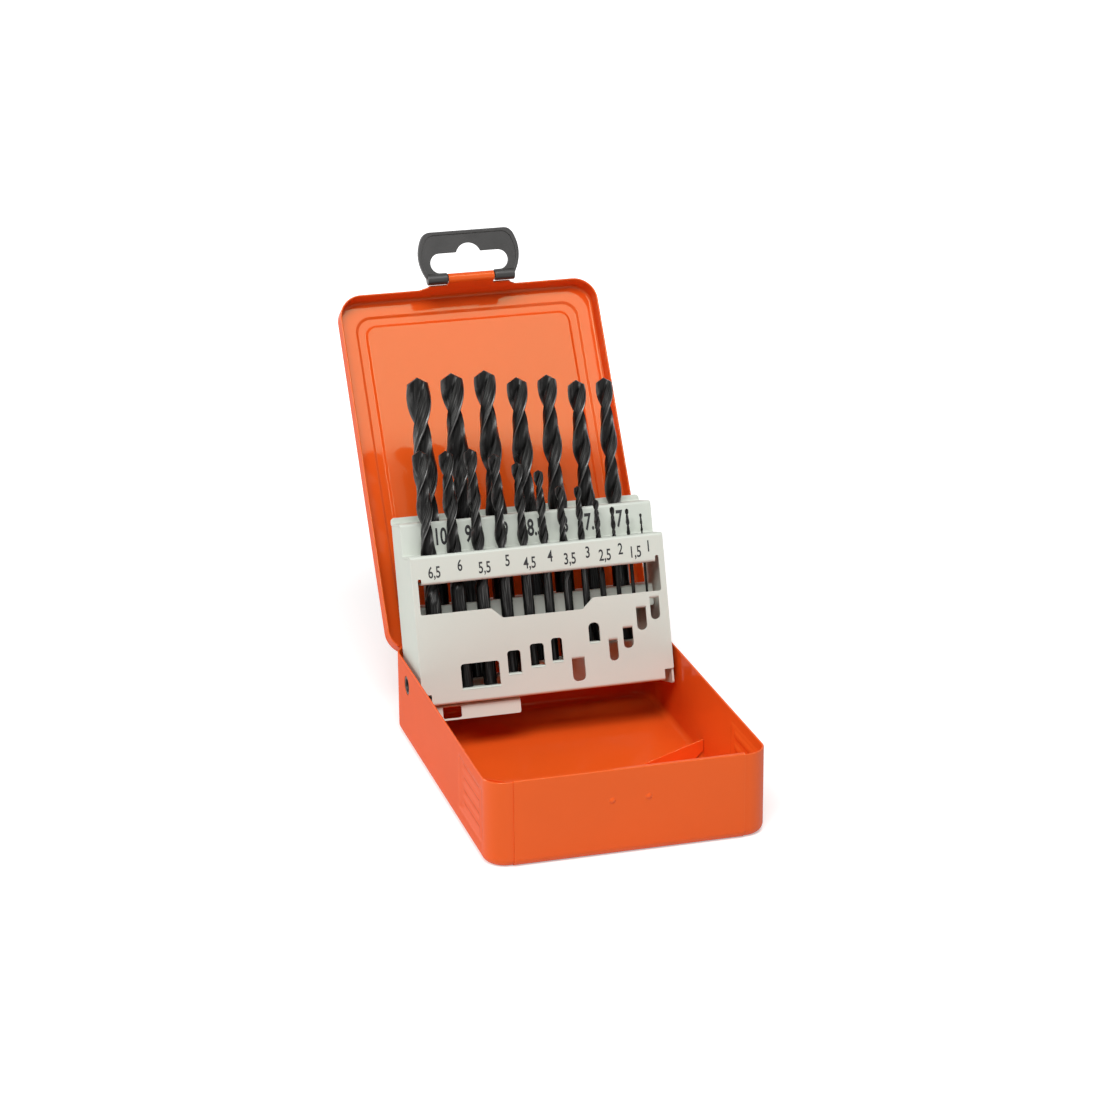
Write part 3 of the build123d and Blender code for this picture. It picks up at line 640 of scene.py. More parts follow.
def turned_x(name: str, profile: Sequence[Point], y: float, z: float,
             sides: int = 40) -> bpy.types.Object:
    """Solid of revolution about a line along X.

    Args:
        name: the object's name.
        profile: closed outline as station and radius pairs.
        y: the line's Y.
        z: the line's Z.
        sides: number of facets.

    Returns:
        The solid.
    """
    count = len(profile)
    vertices, faces = [], []
    for side in range(sides):
        angle = 2 * math.pi * side / sides
        vertices += [(x, y + r * math.cos(angle), z + r * math.sin(angle)) for x, r in profile]
    for side in range(sides):
        here, there = side * count, (side + 1) % sides * count
        faces += [(here + i, here + (i + 1) % count, there + (i + 1) % count, there + i)
                  for i in range(count)]
    return mesh_object(name, vertices, faces)


def rod_x(name: str, x0: float, x1: float, radius: float, y: float, z: float,
          bore: float = 0.0, ease_edge: float = 0.15) -> bpy.types.Object:
    """Rod or tube along X with eased ends."""
    edge = min(ease_edge, radius / 3)
    profile = [(x0, bore), (x0, radius - edge), (x0 + edge * 0.3, radius - edge * 0.3),
               (x0 + edge, radius), (x1 - edge, radius), (x1 - edge * 0.3, radius - edge * 0.3),
               (x1, radius - edge), (x1, bore)]
    return turned_x(name, profile, y, z)


def extrude_profile(name: str, outline: Loop, x0: float, x1: float) -> bpy.types.Object:
    """Solid with a constant section along X.

    Args:
        name: the object's name.
        outline: section as (y, z) pairs.
        x0: one end.
        x1: the other end.

    Returns:
        The solid.
    """
    count = len(outline)
    vertices = [(x, y, z) for x in (x0, x1) for y, z in outline]
    faces = [(i, (i + 1) % count, count + (i + 1) % count, count + i) for i in range(count)]
    faces += [tuple(range(count)), tuple(range(2 * count - 1, count - 1, -1))]
    return mesh_object(name, vertices, faces)


def soften(obj: bpy.types.Object, width: float, steps: int = 2,
           angle: float = 32.0) -> bpy.types.Object:
    """Ease the sharp edges of a solid and give it smooth shading.

    Args:
        obj: the solid.
        width: width of the eased edge in millimetres, or 0 for shading alone.
        steps: rows of faces across the eased edge.
        angle: least angle in degrees that counts as an edge.

    Returns:
        The same object.
    """
    if width:
        modifier = obj.modifiers.new("eased", "BEVEL")
        modifier.width = width
        modifier.segments = steps
        modifier.limit_method = "ANGLE"
        modifier.angle_limit = math.radians(angle)
        modifier.use_clamp_overlap = True
        settle(obj)
    obj.data.shade_smooth()
    obj.data.set_sharp_from_angle(angle=math.radians(angle + 8.0))
    modifier = obj.modifiers.new("flat_faces", "WEIGHTED_NORMAL")
    modifier.keep_sharp = True
    modifier.weight = 60
    return settle(obj)


def place(obj: bpy.types.Object, matrix: Matrix | None = None) -> bpy.types.Object:
    """Take a finished mesh from millimetres in its own frame to metres in the part's frame."""
    obj.data.transform(Matrix.Diagonal((MM, MM, MM, 1.0)) @ (matrix or Matrix.Identity(4)))
    return obj


def dress(obj: bpy.types.Object, finish: Finish, body: str,
          stands_for: Sequence[str] = ()) -> bpy.types.Object:
    """Give a finished piece its material and its body, and hide the CAD nodes it stands for.

    Args:
        obj: the piece, in metres.
        finish: its finish.
        body: the body it rides on.
        stands_for: CAD nodes that it replaces.

    Returns:
        The same object.
    """
    obj.data.materials.clear()
    obj.data.materials.append(finish.material())
    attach(obj, body)
    if stands_for:
        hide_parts(*stands_for)
    LOG.info("%s: %d faces on %s", obj.name, len(obj.data.polygons), body)
    return obj


def refined_copy(name: str, node: str, width: float) -> bpy.types.Object:
    """Copy a CAD node's shape with merged faces and eased edges.

    Args:
        name: the name of the new piece.
        node: the CAD node.
        width: width of its eased edges in millimetres.

    Returns:
        The piece, in millimetres.
    """
    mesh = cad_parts[node].data.copy()
    mesh.name = name
    mesh.transform(Matrix.Diagonal((1 / MM, 1 / MM, 1 / MM, 1.0)))
    work = bmesh.new()
    work.from_mesh(mesh)
    bmesh.ops.remove_doubles(work, verts=work.verts, dist=1e-3)
    bmesh.ops.dissolve_limit(work, angle_limit=math.radians(1.0), verts=work.verts,
                             edges=work.edges, use_dissolve_boundaries=False)
    work.to_mesh(mesh)
    work.free()
    return soften(stage(name, mesh), width)


@dataclass(frozen=True)
class Ring:
    """One level of a pressed pan: a rounded rectangle."""

    half_x: float
    half_y: float
    corner: float
    z: float

    def inset(self, amount: float, z: float) -> "Ring":
        """Ring of the same pan further in, at another height."""
        return Ring(self.half_x - amount, self.half_y - amount, self.corner - amount, z)

    def points(self, along_x: np.ndarray, along_y: np.ndarray, steps: int) -> list:
        """Points round the ring.

        Args:
            along_x: stations of the straight X sides, from -1 to 1.
            along_y: stations of the straight Y sides, from -1 to 1.
            steps: chords in each corner.

        Returns:
            The points, with the same number for every ring.
        """
        straight_x, straight_y = self.half_x - self.corner, self.half_y - self.corner
        turn = np.radians(np.linspace(0, 90, steps + 1)[1:-1])
        loop = [(self.half_x, straight_y * s) for s in along_y]
        loop += [(straight_x + self.corner * math.cos(a), straight_y + self.corner * math.sin(a))
                 for a in turn]
        loop += [(straight_x * s, self.half_y) for s in along_x[::-1]]
        loop += [(-straight_x - self.corner * math.sin(a), straight_y + self.corner * math.cos(a))
                 for a in turn]
        loop += [(-self.half_x, straight_y * s) for s in along_y[::-1]]
        loop += [(-straight_x - self.corner * math.cos(a), -straight_y - self.corner * math.sin(a))
                 for a in turn]
        loop += [(straight_x * s, -self.half_y) for s in along_x]
        loop += [(straight_x + self.corner * math.sin(a), -straight_y - self.corner * math.cos(a))
                 for a in turn]
        return [(x, y, self.z) for x, y in loop]


def loft(name: str, rings: Sequence[Ring], along_x: np.ndarray, along_y: np.ndarray,
         steps: int, shift_y: float = 0.0,
         shape: Callable[[np.ndarray], np.ndarray] | None = None) -> bpy.types.Object:
    """Join rings into a closed shell whose first and last ring are filled.

    Args:
        name: the object's name.
        rings: the levels, in order along the skin.
        along_x: stations of the straight X sides.
        along_y: stations of the straight Y sides.
        steps: chords in each corner.
        shift_y: middle of the rings along Y.
        shape: moves the points, if given.

    Returns:
        The shell.
    """
    loops = [ring.points(along_x, along_y, steps) for ring in rings]
    count = len(loops[0])
    vertices = np.array([point for loop in loops for point in loop])
    vertices[:, 1] += shift_y
    if shape:
        vertices = shape(vertices)
    faces = []
    for level in range(len(loops) - 1):
        base = level * count
        faces += [(base + i, base + (i + 1) % count, base + count + (i + 1) % count,
                   base + count + i) for i in range(count)]
    last = (len(loops) - 1) * count
    faces += [tuple(range(count))[::-1], tuple(range(last, last + count))]
    return mesh_object(name, vertices, faces)


class FoldPath:
    """Middle line of a bent sheet: corner points joined by round bends.

    Args:
        corners: the corners as (depth, height) pairs.
        radius: radius of the middle line in the bends.
    """

    def __init__(self, corners: Sequence[Point], radius: float = 0.8) -> None:
        self.corners = [Vector(corner) for corner in corners]
        self.radius = radius
        ways = [(b - a) for a, b in zip(self.corners, self.corners[1:])]
        self.lengths = [way.length for way in ways]
        self.ways = [way.normalized() for way in ways]
        turns = [0.0]
        for way, after in zip(self.ways, self.ways[1:]):
            turns.append(math.atan2(way.x * after.y - way.y * after.x, way.dot(after)))
        self.turns = turns + [0.0]
        self.setbacks = [radius * math.tan(abs(turn) / 2) for turn in self.turns]
        self.starts, distance = [], 0.0
        for index, length in enumerate(self.lengths):
            distance += radius * abs(self.turns[index])
            self.starts.append(distance)
            distance += length - self.setbacks[index] - self.setbacks[index + 1]
        self.total = distance

    def station(self, index: int, along: float) -> float:
        """Distance along the sheet of a place on one straight.

        Args:
            index: number of the straight.
            along: distance from its first corner, as if there were no bend.

        Returns:
            The distance from the start of the sheet.
        """
        return self.starts[index] + along - self.setbacks[index]

    def cuts(self, steps: int = 7) -> list[float]:
        """Distances at which the flat sheet is cut into rows of faces, for its bends."""
        places = []
        for index in range(1, len(self.starts)):
            arc_length = self.radius * abs(self.turns[index])
            places += [self.starts[index] - arc_length * (1 - step / steps)
                       for step in range(steps + 1)]
        return places

    def at(self, distance: float) -> tuple[Vector, Vector]:
        """Point and direction of the middle line at a distance."""
        index = max(i for i, start in enumerate(
            [s - self.radius * abs(t) for s, t in zip(self.starts, self.turns)])
            if distance >= start - 1e-9 or i == 0)
        way = self.ways[index]
        local = distance - self.starts[index]
        if local >= 0 or index == 0:
            return self.corners[index] + way * (local + self.setbacks[index]), way
        turn = self.turns[index]
        angle = local / self.radius * (1 if turn > 0 else -1)
        start = self.corners[index] + way * self.setbacks[index]
        side = Vector((-way.y, way.x)) * (1 if turn > 0 else -1)
        center = start + side * self.radius
        spin = Matrix.Rotation(angle, 2)
        return center + spin @ (start - center), spin @ way


def fold_sheet(name: str, loops: Sequence[Loop], path: FoldPath, thickness: float,
               width: float = 0.1, steps: int = 7) -> bpy.types.Object:
    """Cut a flat sheet, bend it along its path and give it its thickness.

    Args:
        name: the object's name.
        loops: outline and holes of the flat sheet, as (across, along) pairs.
        path: its middle line.
        thickness: thickness of the sheet.
        width: width of its eased edges.
        steps: rows of faces in each bend.

    Returns:
        The sheet, with X across it.
    """
    flat = bmesh.new()
    edges = []
    for loop in loops:
        points = [flat.verts.new((x, s, 0.0)) for x, s in loop]
        edges += [flat.edges.new((a, b)) for a, b in zip(points, points[1:] + points[:1])]
    bmesh.ops.triangle_fill(flat, use_beauty=True, use_dissolve=False, edges=edges)
    for place_along in path.cuts(steps):
        bmesh.ops.bisect_plane(flat, geom=flat.verts[:] + flat.edges[:] + flat.faces[:],
                               dist=1e-5, plane_co=(0, place_along, 0), plane_no=(0, 1, 0))
    bmesh.ops.dissolve_limit(flat, angle_limit=math.radians(1.0), verts=flat.verts,
                             edges=[e for e in flat.edges
                                    if not any(abs(e.verts[0].co.y - c) < 1e-4
                                               and abs(e.verts[1].co.y - c) < 1e-4
                                               for c in path.cuts(steps))],
                             use_dissolve_boundaries=False)
    flat.verts.index_update()
    vertices = []
    for side in (thickness / 2, -thickness / 2):
        for vert in flat.verts:
            middle, way = path.at(vert.co.y)
            vertices.append((vert.co.x, middle.x - way.y * side, middle.y + way.x * side))
    count = len(flat.verts)
    faces = [[v.index for v in f.verts] for f in flat.faces]
    faces += [[v.index + count for v in reversed(f.verts)] for f in flat.faces]
    faces += [(e.verts[0].index, e.verts[1].index, e.verts[1].index + count,
               e.verts[0].index + count) for e in flat.edges if len(e.link_faces) == 1]
    flat.free()
    return soften(mesh_object(name, vertices, faces), width)


# ---- the case, in millimetres ---------------------------------------------------------------
PIVOT = (52.0, 26.0)   # Y and Z of the holder's pivot in the tray
LEAN = 17.3            # degrees that the open holder leans back


@dataclass
class Hinge:
    """Hinge between tray and lid.

    Attributes:
        pin_y: the pin's Y.
        pin_z: the pin's Z.
        pin_radius: its radius.
        tray_half: half the tray's knuckle.
        lid_from: inner end of a lid knuckle.
        lid_to: outer end of a lid knuckle.
        open_angle: degrees between shut and open.
    """

    pin_y: float = 76.25
    pin_z: float = 33.0
    pin_radius: float = 1.0
    tray_half: float = 17.5
    lid_from: float = 17.9
    lid_to: float = 37.9
    open_angle: float = 123.3

    def lid_ends(self, side: int, room: float = 0.0) -> list[float]:
        """List both ends of a lid knuckle, in rising X, with room beyond them."""
        return sorted((side * (self.lid_from - room), side * (self.lid_to + room)))

    def opened(self) -> Matrix:
        """Movement from the shut lid to the open one."""
        return (Matrix.Translation((0, self.pin_y, self.pin_z))
                @ Matrix.Rotation(-math.radians(self.open_angle), 4, "X")
                @ Matrix.Translation((0, -self.pin_y, -self.pin_z)))

    def build(self) -> None:
        """Make the pin."""
        pin = rod_x("hinge_wire", -38.7, 38.7, self.pin_radius, self.pin_y, self.pin_z,
                    ease_edge=0.3)
        dress(place(soften(pin, 0)), WIRE, Body.TRAY.value, ["hinge_pin"])


@dataclass
class Tray:
    """Deep tray with its front panel and rests.

    Attributes:
        half_x: half its width.
        half_y: half its length.
        height: its height.
        corner: radius of its upright corners.
        edge: radius of its bottom edge.
        sheet: thickness of the sheet.
        hinge: the hinge it carries.
    """

    half_x: float = 55.75
    half_y: float = 75.25
    height: float = 34.8
    corner: float = 9.0
    edge: float = 3.5
    sheet: float = 0.8
    hinge: Hinge = field(default_factory=Hinge)

    def rings(self) -> list[Ring]:
        """Levels of the shell, from the middle of its underside over the rim to its floor."""
        outer = Ring(self.half_x, self.half_y, self.corner, 0.0)
        turn = np.radians(np.linspace(0, 90, 9))
        walls = np.concatenate([[5.0, 6.6], np.arange(7.2, 31.2, 0.55), [32.0]])
        rings = [outer.inset(self.edge + 1.0, 0.0)]
        rings += [outer.inset(self.edge * (1 - math.sin(a)), self.edge * (1 - math.cos(a)))
                  for a in turn]
        rings += [outer.inset(0.0, z) for z in walls]
        half = self.sheet / 2
        top = self.height - half
        rings += [outer.inset(half - half * math.cos(a), top + half * math.sin(a))
                  for a in np.radians(np.linspace(0, 180, 9))]
        inner = self.edge - self.sheet
        rings += [outer.inset(self.sheet, z) for z in walls[::-1]]
        rings += [outer.inset(self.sheet + inner * (1 - math.sin(a)),
                              self.sheet + inner * (1 - math.cos(a))) for a in turn[::-1]]
        rings.append(outer.inset(self.edge + 1.0, self.sheet))
        return rings

    def press_grips(self, points: np.ndarray) -> np.ndarray:
        """Press the grip panels and their grooves into the side walls.

        Args:
            points: the shell's points.

        Returns:
            The moved points.
        """
        x, y, z = points.T
        panel = (ease((y + 67.6) / 1.4) * ease((-31.4 - y) / 1.4)
                 * ease((z - 7.4) / 1.4) * ease((30.6 - z) / 1.4))
        grooves = np.zeros_like(panel)
        for row in range(4):
            middle = 19.0 + (row - 1.5) * 5.3
            across = ease(1.45 - np.abs(z - middle) / 1.3)
            along = ease((y + 62.4) / 1.6) * ease((-36.6 - y) / 1.6)
            grooves = np.maximum(grooves, across * along)
        depth = 0.35 * panel + 0.4 * grooves
        on_side = np.abs(x) > self.half_x - self.sheet - 0.6
        points[:, 0] -= np.sign(x) * depth * on_side
        return points

    def shell(self) -> bpy.types.Object:
        """Make the pressed shell with its pivot holes, hinge notches and knuckle."""
        dense = np.arange(-66.25, -30.0, 0.7)
        along_y = np.concatenate([dense, [-28.0, -20.0, 0.0, 20.0, 45.0, 66.25]]) / 66.25
        along_x = np.linspace(-1, 1, 7)
        shell = loft("tray_shell", self.rings(), along_x, along_y, 12, shape=self.press_grips)
        cutters = [rod_x("cutter", x - 3, x + 3, 4.0, *PIVOT) for x in (-55.4, 55.4)]
        for side in (-1, 1):
            ends = self.hinge.lid_ends(side, 0.4)
            cutters.append(box_solid((ends[0], 73.6, self.hinge.pin_z - 2.15),
                                     (ends[1], 77.0, self.height + 1)))
        cut(shell, cutters)
        knuckle = rod_x("knuckle", -self.hinge.tray_half, self.hinge.tray_half, 1.8,
                        self.hinge.pin_y, self.hinge.pin_z, bore=self.hinge.pin_radius)
        return join("tray_shell", [soften(shell, 0, angle=30.0), soften(knuckle, 0)])

    def panel_section(self) -> Loop:
        """Section of the front panel: up the wall, over the rim and down inside."""
        front, back = -self.half_y, -self.half_y + self.sheet
        outline = arc((front + 3.0, 3.5), 3.5, 270, 180, 8)
        outline += arc((front, self.height), 0.5, 180, 90, 5)
        outline += arc((back, self.height), 0.5, 90, 0, 5)
        outline += [(back + 0.5, 31.3), (back, 31.3), (back, self.height), (front, self.height)]
        return outline + arc((front + 3.5, 3.5), 3.5, 180, 270, 8)

    def pip(self, x: float) -> bpy.types.Object:
        """Small round pip pressed outwards in the front panel.

        Args:
            x: its place across the panel.

        Returns:
            The pip, as a closed cap.
        """
        radius, rise, sides = 1.35, 0.68, 36
        surface = -self.half_y - 0.5
        levels = [(radius * k / 8, surface - rise * (1 - (k / 8) ** 2) ** 1.5) for k in range(9)]
        levels.append((radius, surface + 0.3))
        vertices, faces = [(x, levels[0][1], 22.7)], []
        for size, y in levels[1:]:
            vertices += [(x + size * math.cos(2 * math.pi * i / sides), y,
                          22.7 + size * math.sin(2 * math.pi * i / sides)) for i in range(sides)]
        faces += [(0, 1 + i, 1 + (i + 1) % sides) for i in range(sides)]
        for level in range(len(levels) - 2):
            low = 1 + level * sides
            faces += [(low + i, low + (i + 1) % sides, low + sides + (i + 1) % sides,
                       low + sides + i) for i in range(sides)]
        faces.append(tuple(range(1 + (len(levels) - 2) * sides, 1 + (len(levels) - 1) * sides)))
        return mesh_object("pip", vertices, faces)

    def build(self) -> None:
        """Make and dress every piece of the tray."""
        dress(place(self.shell()), ORANGE, Body.TRAY.value, ["tray"])
        panel = soften(extrude_profile("front_panel_wrap", self.panel_section(), -45.5, 45.5),
                       0.15)
        pips = [soften(self.pip(x), 0, angle=60.0) for x in (-7.2, 7.2)]
        dress(place(join("front_panel_wrap", [panel, *pips])), ORANGE, Body.TRAY.value,
              ["front_panel"])
        dress(place(refined_copy("folded_rests", "holder_rests", 0.15)), ORANGE,
              Body.TRAY.value, ["holder_rests"])
        self.hinge.build()


@dataclass
class Lid:
    """Shallow lid with a pressed bead, knuckles and the hanger's tongue.

    Attributes:
        half_x: half its width.
        front: Y of its front face when shut.
        back: Y of its back face.
        top: Z of its top face.
        rim: depth of its rim.
        corner: radius of its upright corners.
        edge: radius of its top edge.
        sheet: thickness of the sheet.
        tuck: how far a knuckle's web and the tongue stay inside the faces of the wall.
        hinge: the hinge it turns on.
    """

    half_x: float = 56.75
    front: float = -77.45
    back: float = 78.0
    top: float = 41.4
    rim: float = 9.0
    corner: float = 10.0
    edge: float = 2.0
    sheet: float = 0.7
    tuck: float = 0.05
    hinge: Hinge = field(default_factory=Hinge)

    def skin(self, depth: float) -> list[Ring]:
        """Levels of one side of the sheet, from the rim to the middle of the face.

        Args:
            depth: how far this side lies inside the outer side.

        Returns:
            The levels.
        """
        half_y = (self.back - self.front) / 2
        wall = Ring(self.half_x - depth, half_y - depth, self.corner - depth, self.top)
        radius = self.edge - depth
        level = self.top - depth
        rings = [wall.inset(0.0, self.top - self.rim + z) for z in (0.4, 3.0, 6.0)]
        rings += [wall.inset(radius * (1 - math.cos(a)), level - radius * (1 - math.sin(a)))
                  for a in np.radians(np.linspace(0, 90, 9))]
        outer = Ring(self.half_x, half_y, 0.0, level)
        shift = 0.35 * depth
        stations = [(3.2, 8.2, 0.0), (6.6, 7.4, 0.0)]
        for step in range(9):
            share = step / 8
            stations.append((7.1 + shift + share * 1.3, 7.0 - share, 0.7 * float(ease(share))))
        for step in range(9):
            share = step / 8
            stations.append((11.5 - shift + share * 1.3, 5.1 - share,
                             0.7 * float(ease(1 - share))))
        stations += [(13.6, 3.9, 0.0), (16.0, 3.6, 0.0)]
        rings += [Ring(outer.half_x - inset, half_y - inset, corner, level + rise)
                  for inset, corner, rise in stations]
        return rings

    def shell(self) -> bpy.types.Object:
        """Make the pressed shell, with the cut-outs at its hinge."""
        half = self.sheet / 2
        half_y = (self.back - self.front) / 2
        base = self.top - self.rim
        wall = Ring(self.half_x, half_y, self.corner, base)
        lip = [wall.inset(half - half * math.cos(a), base + half - half * math.sin(a))
               for a in np.radians(np.linspace(0, 180, 7))]
        rings = self.skin(0.0)[::-1] + lip + self.skin(self.sheet)
        even = np.linspace(-1, 1, 13)
        shell = loft("lid_shell", rings, even, even, 12, (self.front + self.back) / 2)
        pin = self.hinge
        cutters = [box_solid((-58, pin.pin_y - 1.0, base - 1),
                             (58, self.back + 1, pin.pin_z + 0.5)),
                   box_solid((-pin.lid_from, pin.pin_y, base - 1),
                             (pin.lid_from, self.back + 1, pin.pin_z + 2.2))]
        return soften(cut(shell, cutters), 0, angle=30.0)

    def knuckles(self) -> list[bpy.types.Object]:
        """Make the two knuckles, each a curl with a web up to the lid's back."""
        pieces = []
        for side in (-1, 1):
            ends = self.hinge.lid_ends(side)
            pieces.append(soften(rod_x("knuckle", *ends, 1.75, self.hinge.pin_y,
                                       self.hinge.pin_z, bore=1.05), 0))
            web = box_solid((ends[0] + self.tuck, self.back - self.sheet + self.tuck,
                             self.hinge.pin_z),
                            (ends[1] - self.tuck, self.back - self.tuck, self.top - self.edge))
            pieces.append(soften(web, 0.12))
        return pieces

    def tongue(self) -> bpy.types.Object:
        """Make the tongue on the front rim, curled round the hanger's bar."""
        middle = self.front + self.sheet / 2
        start, curl_z = self.top - self.rim + 1.0, self.top - 17.5
        radius = 1.75
        turn = 293.0
        straight = start - curl_z
        total = straight + radius * math.radians(turn)
        outline = [(-21, 0), (-21, 1.2), (-18, 4.2), (-18, 6.0), (-10, 6.0), (-10, total),
                   (10, total), (10, 6.0), (18, 6.0), (18, 4.2), (21, 1.2), (21, 0)]
        radii = [0, 0, 1, 1.2, 0.8, 0.6, 0.6, 0.8, 1.2, 1, 0, 0]
        path = CurlPath((middle, start), (middle, curl_z), radius, turn)
        return fold_sheet("tongue", [rounded(outline, radii, 4)], path,
                          self.sheet - 2 * self.tuck, 0.1, 30)

    def build(self) -> None:
        """Make and dress the lid."""
        pieces = [self.shell(), *self.knuckles(), self.tongue()]
        lid = join("lid_shell", pieces)
        dress(place(lid, self.hinge.opened()), ORANGE, Body.LID.value, ["lid"])


class CurlPath(FoldPath):
    """Straight sheet that ends in a curl to its right-hand side.

    Args:
        start: first point.
        end: where the curl starts.
        radius: radius of the curl's middle line.
        turn: degrees that the curl goes round.
    """

    def __init__(self, start: Point, end: Point, radius: float, turn: float) -> None:
        super().__init__([start, end], radius)
        self.turn = math.radians(turn)

    def cuts(self, steps: int = 7) -> list[float]:
        """Distances at which the curl is cut into rows of faces."""
        return [self.total + self.radius * self.turn * step / steps for step in range(steps)]

    def at(self, distance: float) -> tuple[Vector, Vector]:
        """Point and direction of the middle line at a distance."""
        if distance <= self.total:
            return super().at(distance)
        way = self.ways[0]
        side = Vector((way.y, -way.x))
        center = self.corners[1] + side * self.radius
        spin = Matrix.Rotation(-(distance - self.total) / self.radius, 2)
        return center + spin @ (self.corners[1] - center), spin @ way


@dataclass
class Hanger:
    """Moulded hanger that swings on the tongue.

    Attributes:
        foot: half its width at the bar.
        waist: greatest half width.
        top: half its width at the top.
        height: height above the bar.
        gap: half the opening for the tongue's curl.
        tuck: how far the plate stays inside the border's outer face.
    """

    foot: float = 19.1
    waist: float = 22.0
    top: float = 18.8
    height: float = 20.0
    gap: float = 10.3
    tuck: float = 0.1

    def side(self, inset: float) -> Loop:
        """Right-hand side and top corner of the outline, from the foot upwards."""
        foot, waist, top = self.foot - inset, self.waist - inset, self.top - inset
        height = self.height - inset
        a, b, c = Vector((foot, 0)), Vector((waist, 9.0)), Vector((top, height))
        heights = np.linspace(0, height - 2.6, 14)
        result = []
        for z in heights:
            wa = (z - b.y) * (z - c.y) / ((a.y - b.y) * (a.y - c.y))
            wb = (z - a.y) * (z - c.y) / ((b.y - a.y) * (b.y - c.y))
            wc = (z - a.y) * (z - b.y) / ((c.y - a.y) * (c.y - b.y))
            result.append((a.x * wa + b.x * wb + c.x * wc, float(z)))
        start, end = Vector(result[-1]), Vector((top - 2.6, height))
        for step in range(1, 8):
            t = step / 7
            point = start * (1 - t) ** 2 + c * 2 * t * (1 - t) + end * t * t
            result.append((point.x, point.y))
        return result

    def slot(self) -> Loop:
        """Right half of the slot's outline, from the gap at the bar to its arch."""
        loop = [(self.gap, 0.0), (self.gap, 2.4)]
        loop += arc((12.8, 6.6), 4.2, -90, 90, 16)[1:]
        meet = math.degrees(math.asin(1.8 / 5.6))
        loop += arc((0, 9.0), 5.6, meet, 90, 12)
        return loop

    def plate(self, name: str, loop: Loop, thickness: float, width: float) -> bpy.types.Object:
        """Make a flat plate of the hanger from its outline."""
        path = FoldPath([(0.0, -1.0), (0.0, 30.0)])
        outline = [(x, z + 1.0) for x, z in loop]
        return fold_sheet(name, [outline], path, thickness, width)

    def build(self, hinge: Hinge) -> None:
        """Make and dress the hanger.

        Args:
            hinge: the lid's hinge, for the open lid.
        """
        right = self.side(0.0)
        slot = self.slot()
        within = self.side(self.tuck)
        web = within + [(-x, z) for x, z in within[::-1]]
        web += [(-x, z) for x, z in slot] + slot[::-1][1:]
        inner = self.side(1.5)
        border = (right + [(-x, z) for x, z in right[::-1]] + [(-x, z) for x, z in inner]
                  + inner[::-1])
        parts = [self.plate("web", web, 1.2, 0.25), self.plate("border", border, 2.2, 0.3)]
        for side in (-1, 1):
            ends = sorted((side * self.gap, side * self.foot))
            parts.append(soften(rod_x("barrel", *ends, 2.4, 0, 0, ease_edge=0.5), 0))
        parts.append(soften(rod_x("bar", -self.gap - 0.5, self.gap + 0.5, 1.3, 0, 0), 0))
        hanger = join("hang_tab", parts)
        bar = hinge.opened() @ Vector((0, -78.85, 23.9))
        lean = Matrix.Translation(bar) @ Matrix.Rotation(-math.radians(21.0), 4, "X")
        dress(place(hanger, lean), PLASTIC, Body.HANGER.value, ["hanger"])


@dataclass(frozen=True)
class StopWindow:
    """Window pressed in the holder's face, whose metal is a drill stop.

    Attributes:
        left: its left side.
        right: its right side.
        foot: height of its foot.
        head: height of its head.
        at_foot: whether the stop is folded at the foot, and not at the head.
        corner: radius of the corners at its free end.
    """

    left: float
    right: float
    foot: float
    head: float
    at_foot: bool
    corner: float

    def opening(self) -> tuple[float, float]:
        """Heights between which the sheet is open, with room for the stop's bend."""
        return (self.foot - 0.87, self.head) if self.at_foot else (self.foot, self.head + 1.2)

    def tab(self) -> bpy.types.Object:
        """Make the stop, bent out of the sheet."""
        length = self.head - self.foot
        if self.at_foot:
            corner = (0.4, self.foot - 0.4)
            start = (0.4, self.foot - 0.87)
            end = (0.4 + length, self.foot - 0.7)
        else:
            corner = (0.4, self.head + 0.4)
            start = (0.4, self.head + 1.2)
            end = (length, self.head + 0.4)
        path = FoldPath([start, corner, end])
        outline = [(self.left, 0), (self.right, 0), (self.right, path.total),
                   (self.left, path.total)]
        return fold_sheet("stop_tab", [rounded(outline, [0, 0, 0.9, 0.9], 4)], path, 0.8, 0.08)


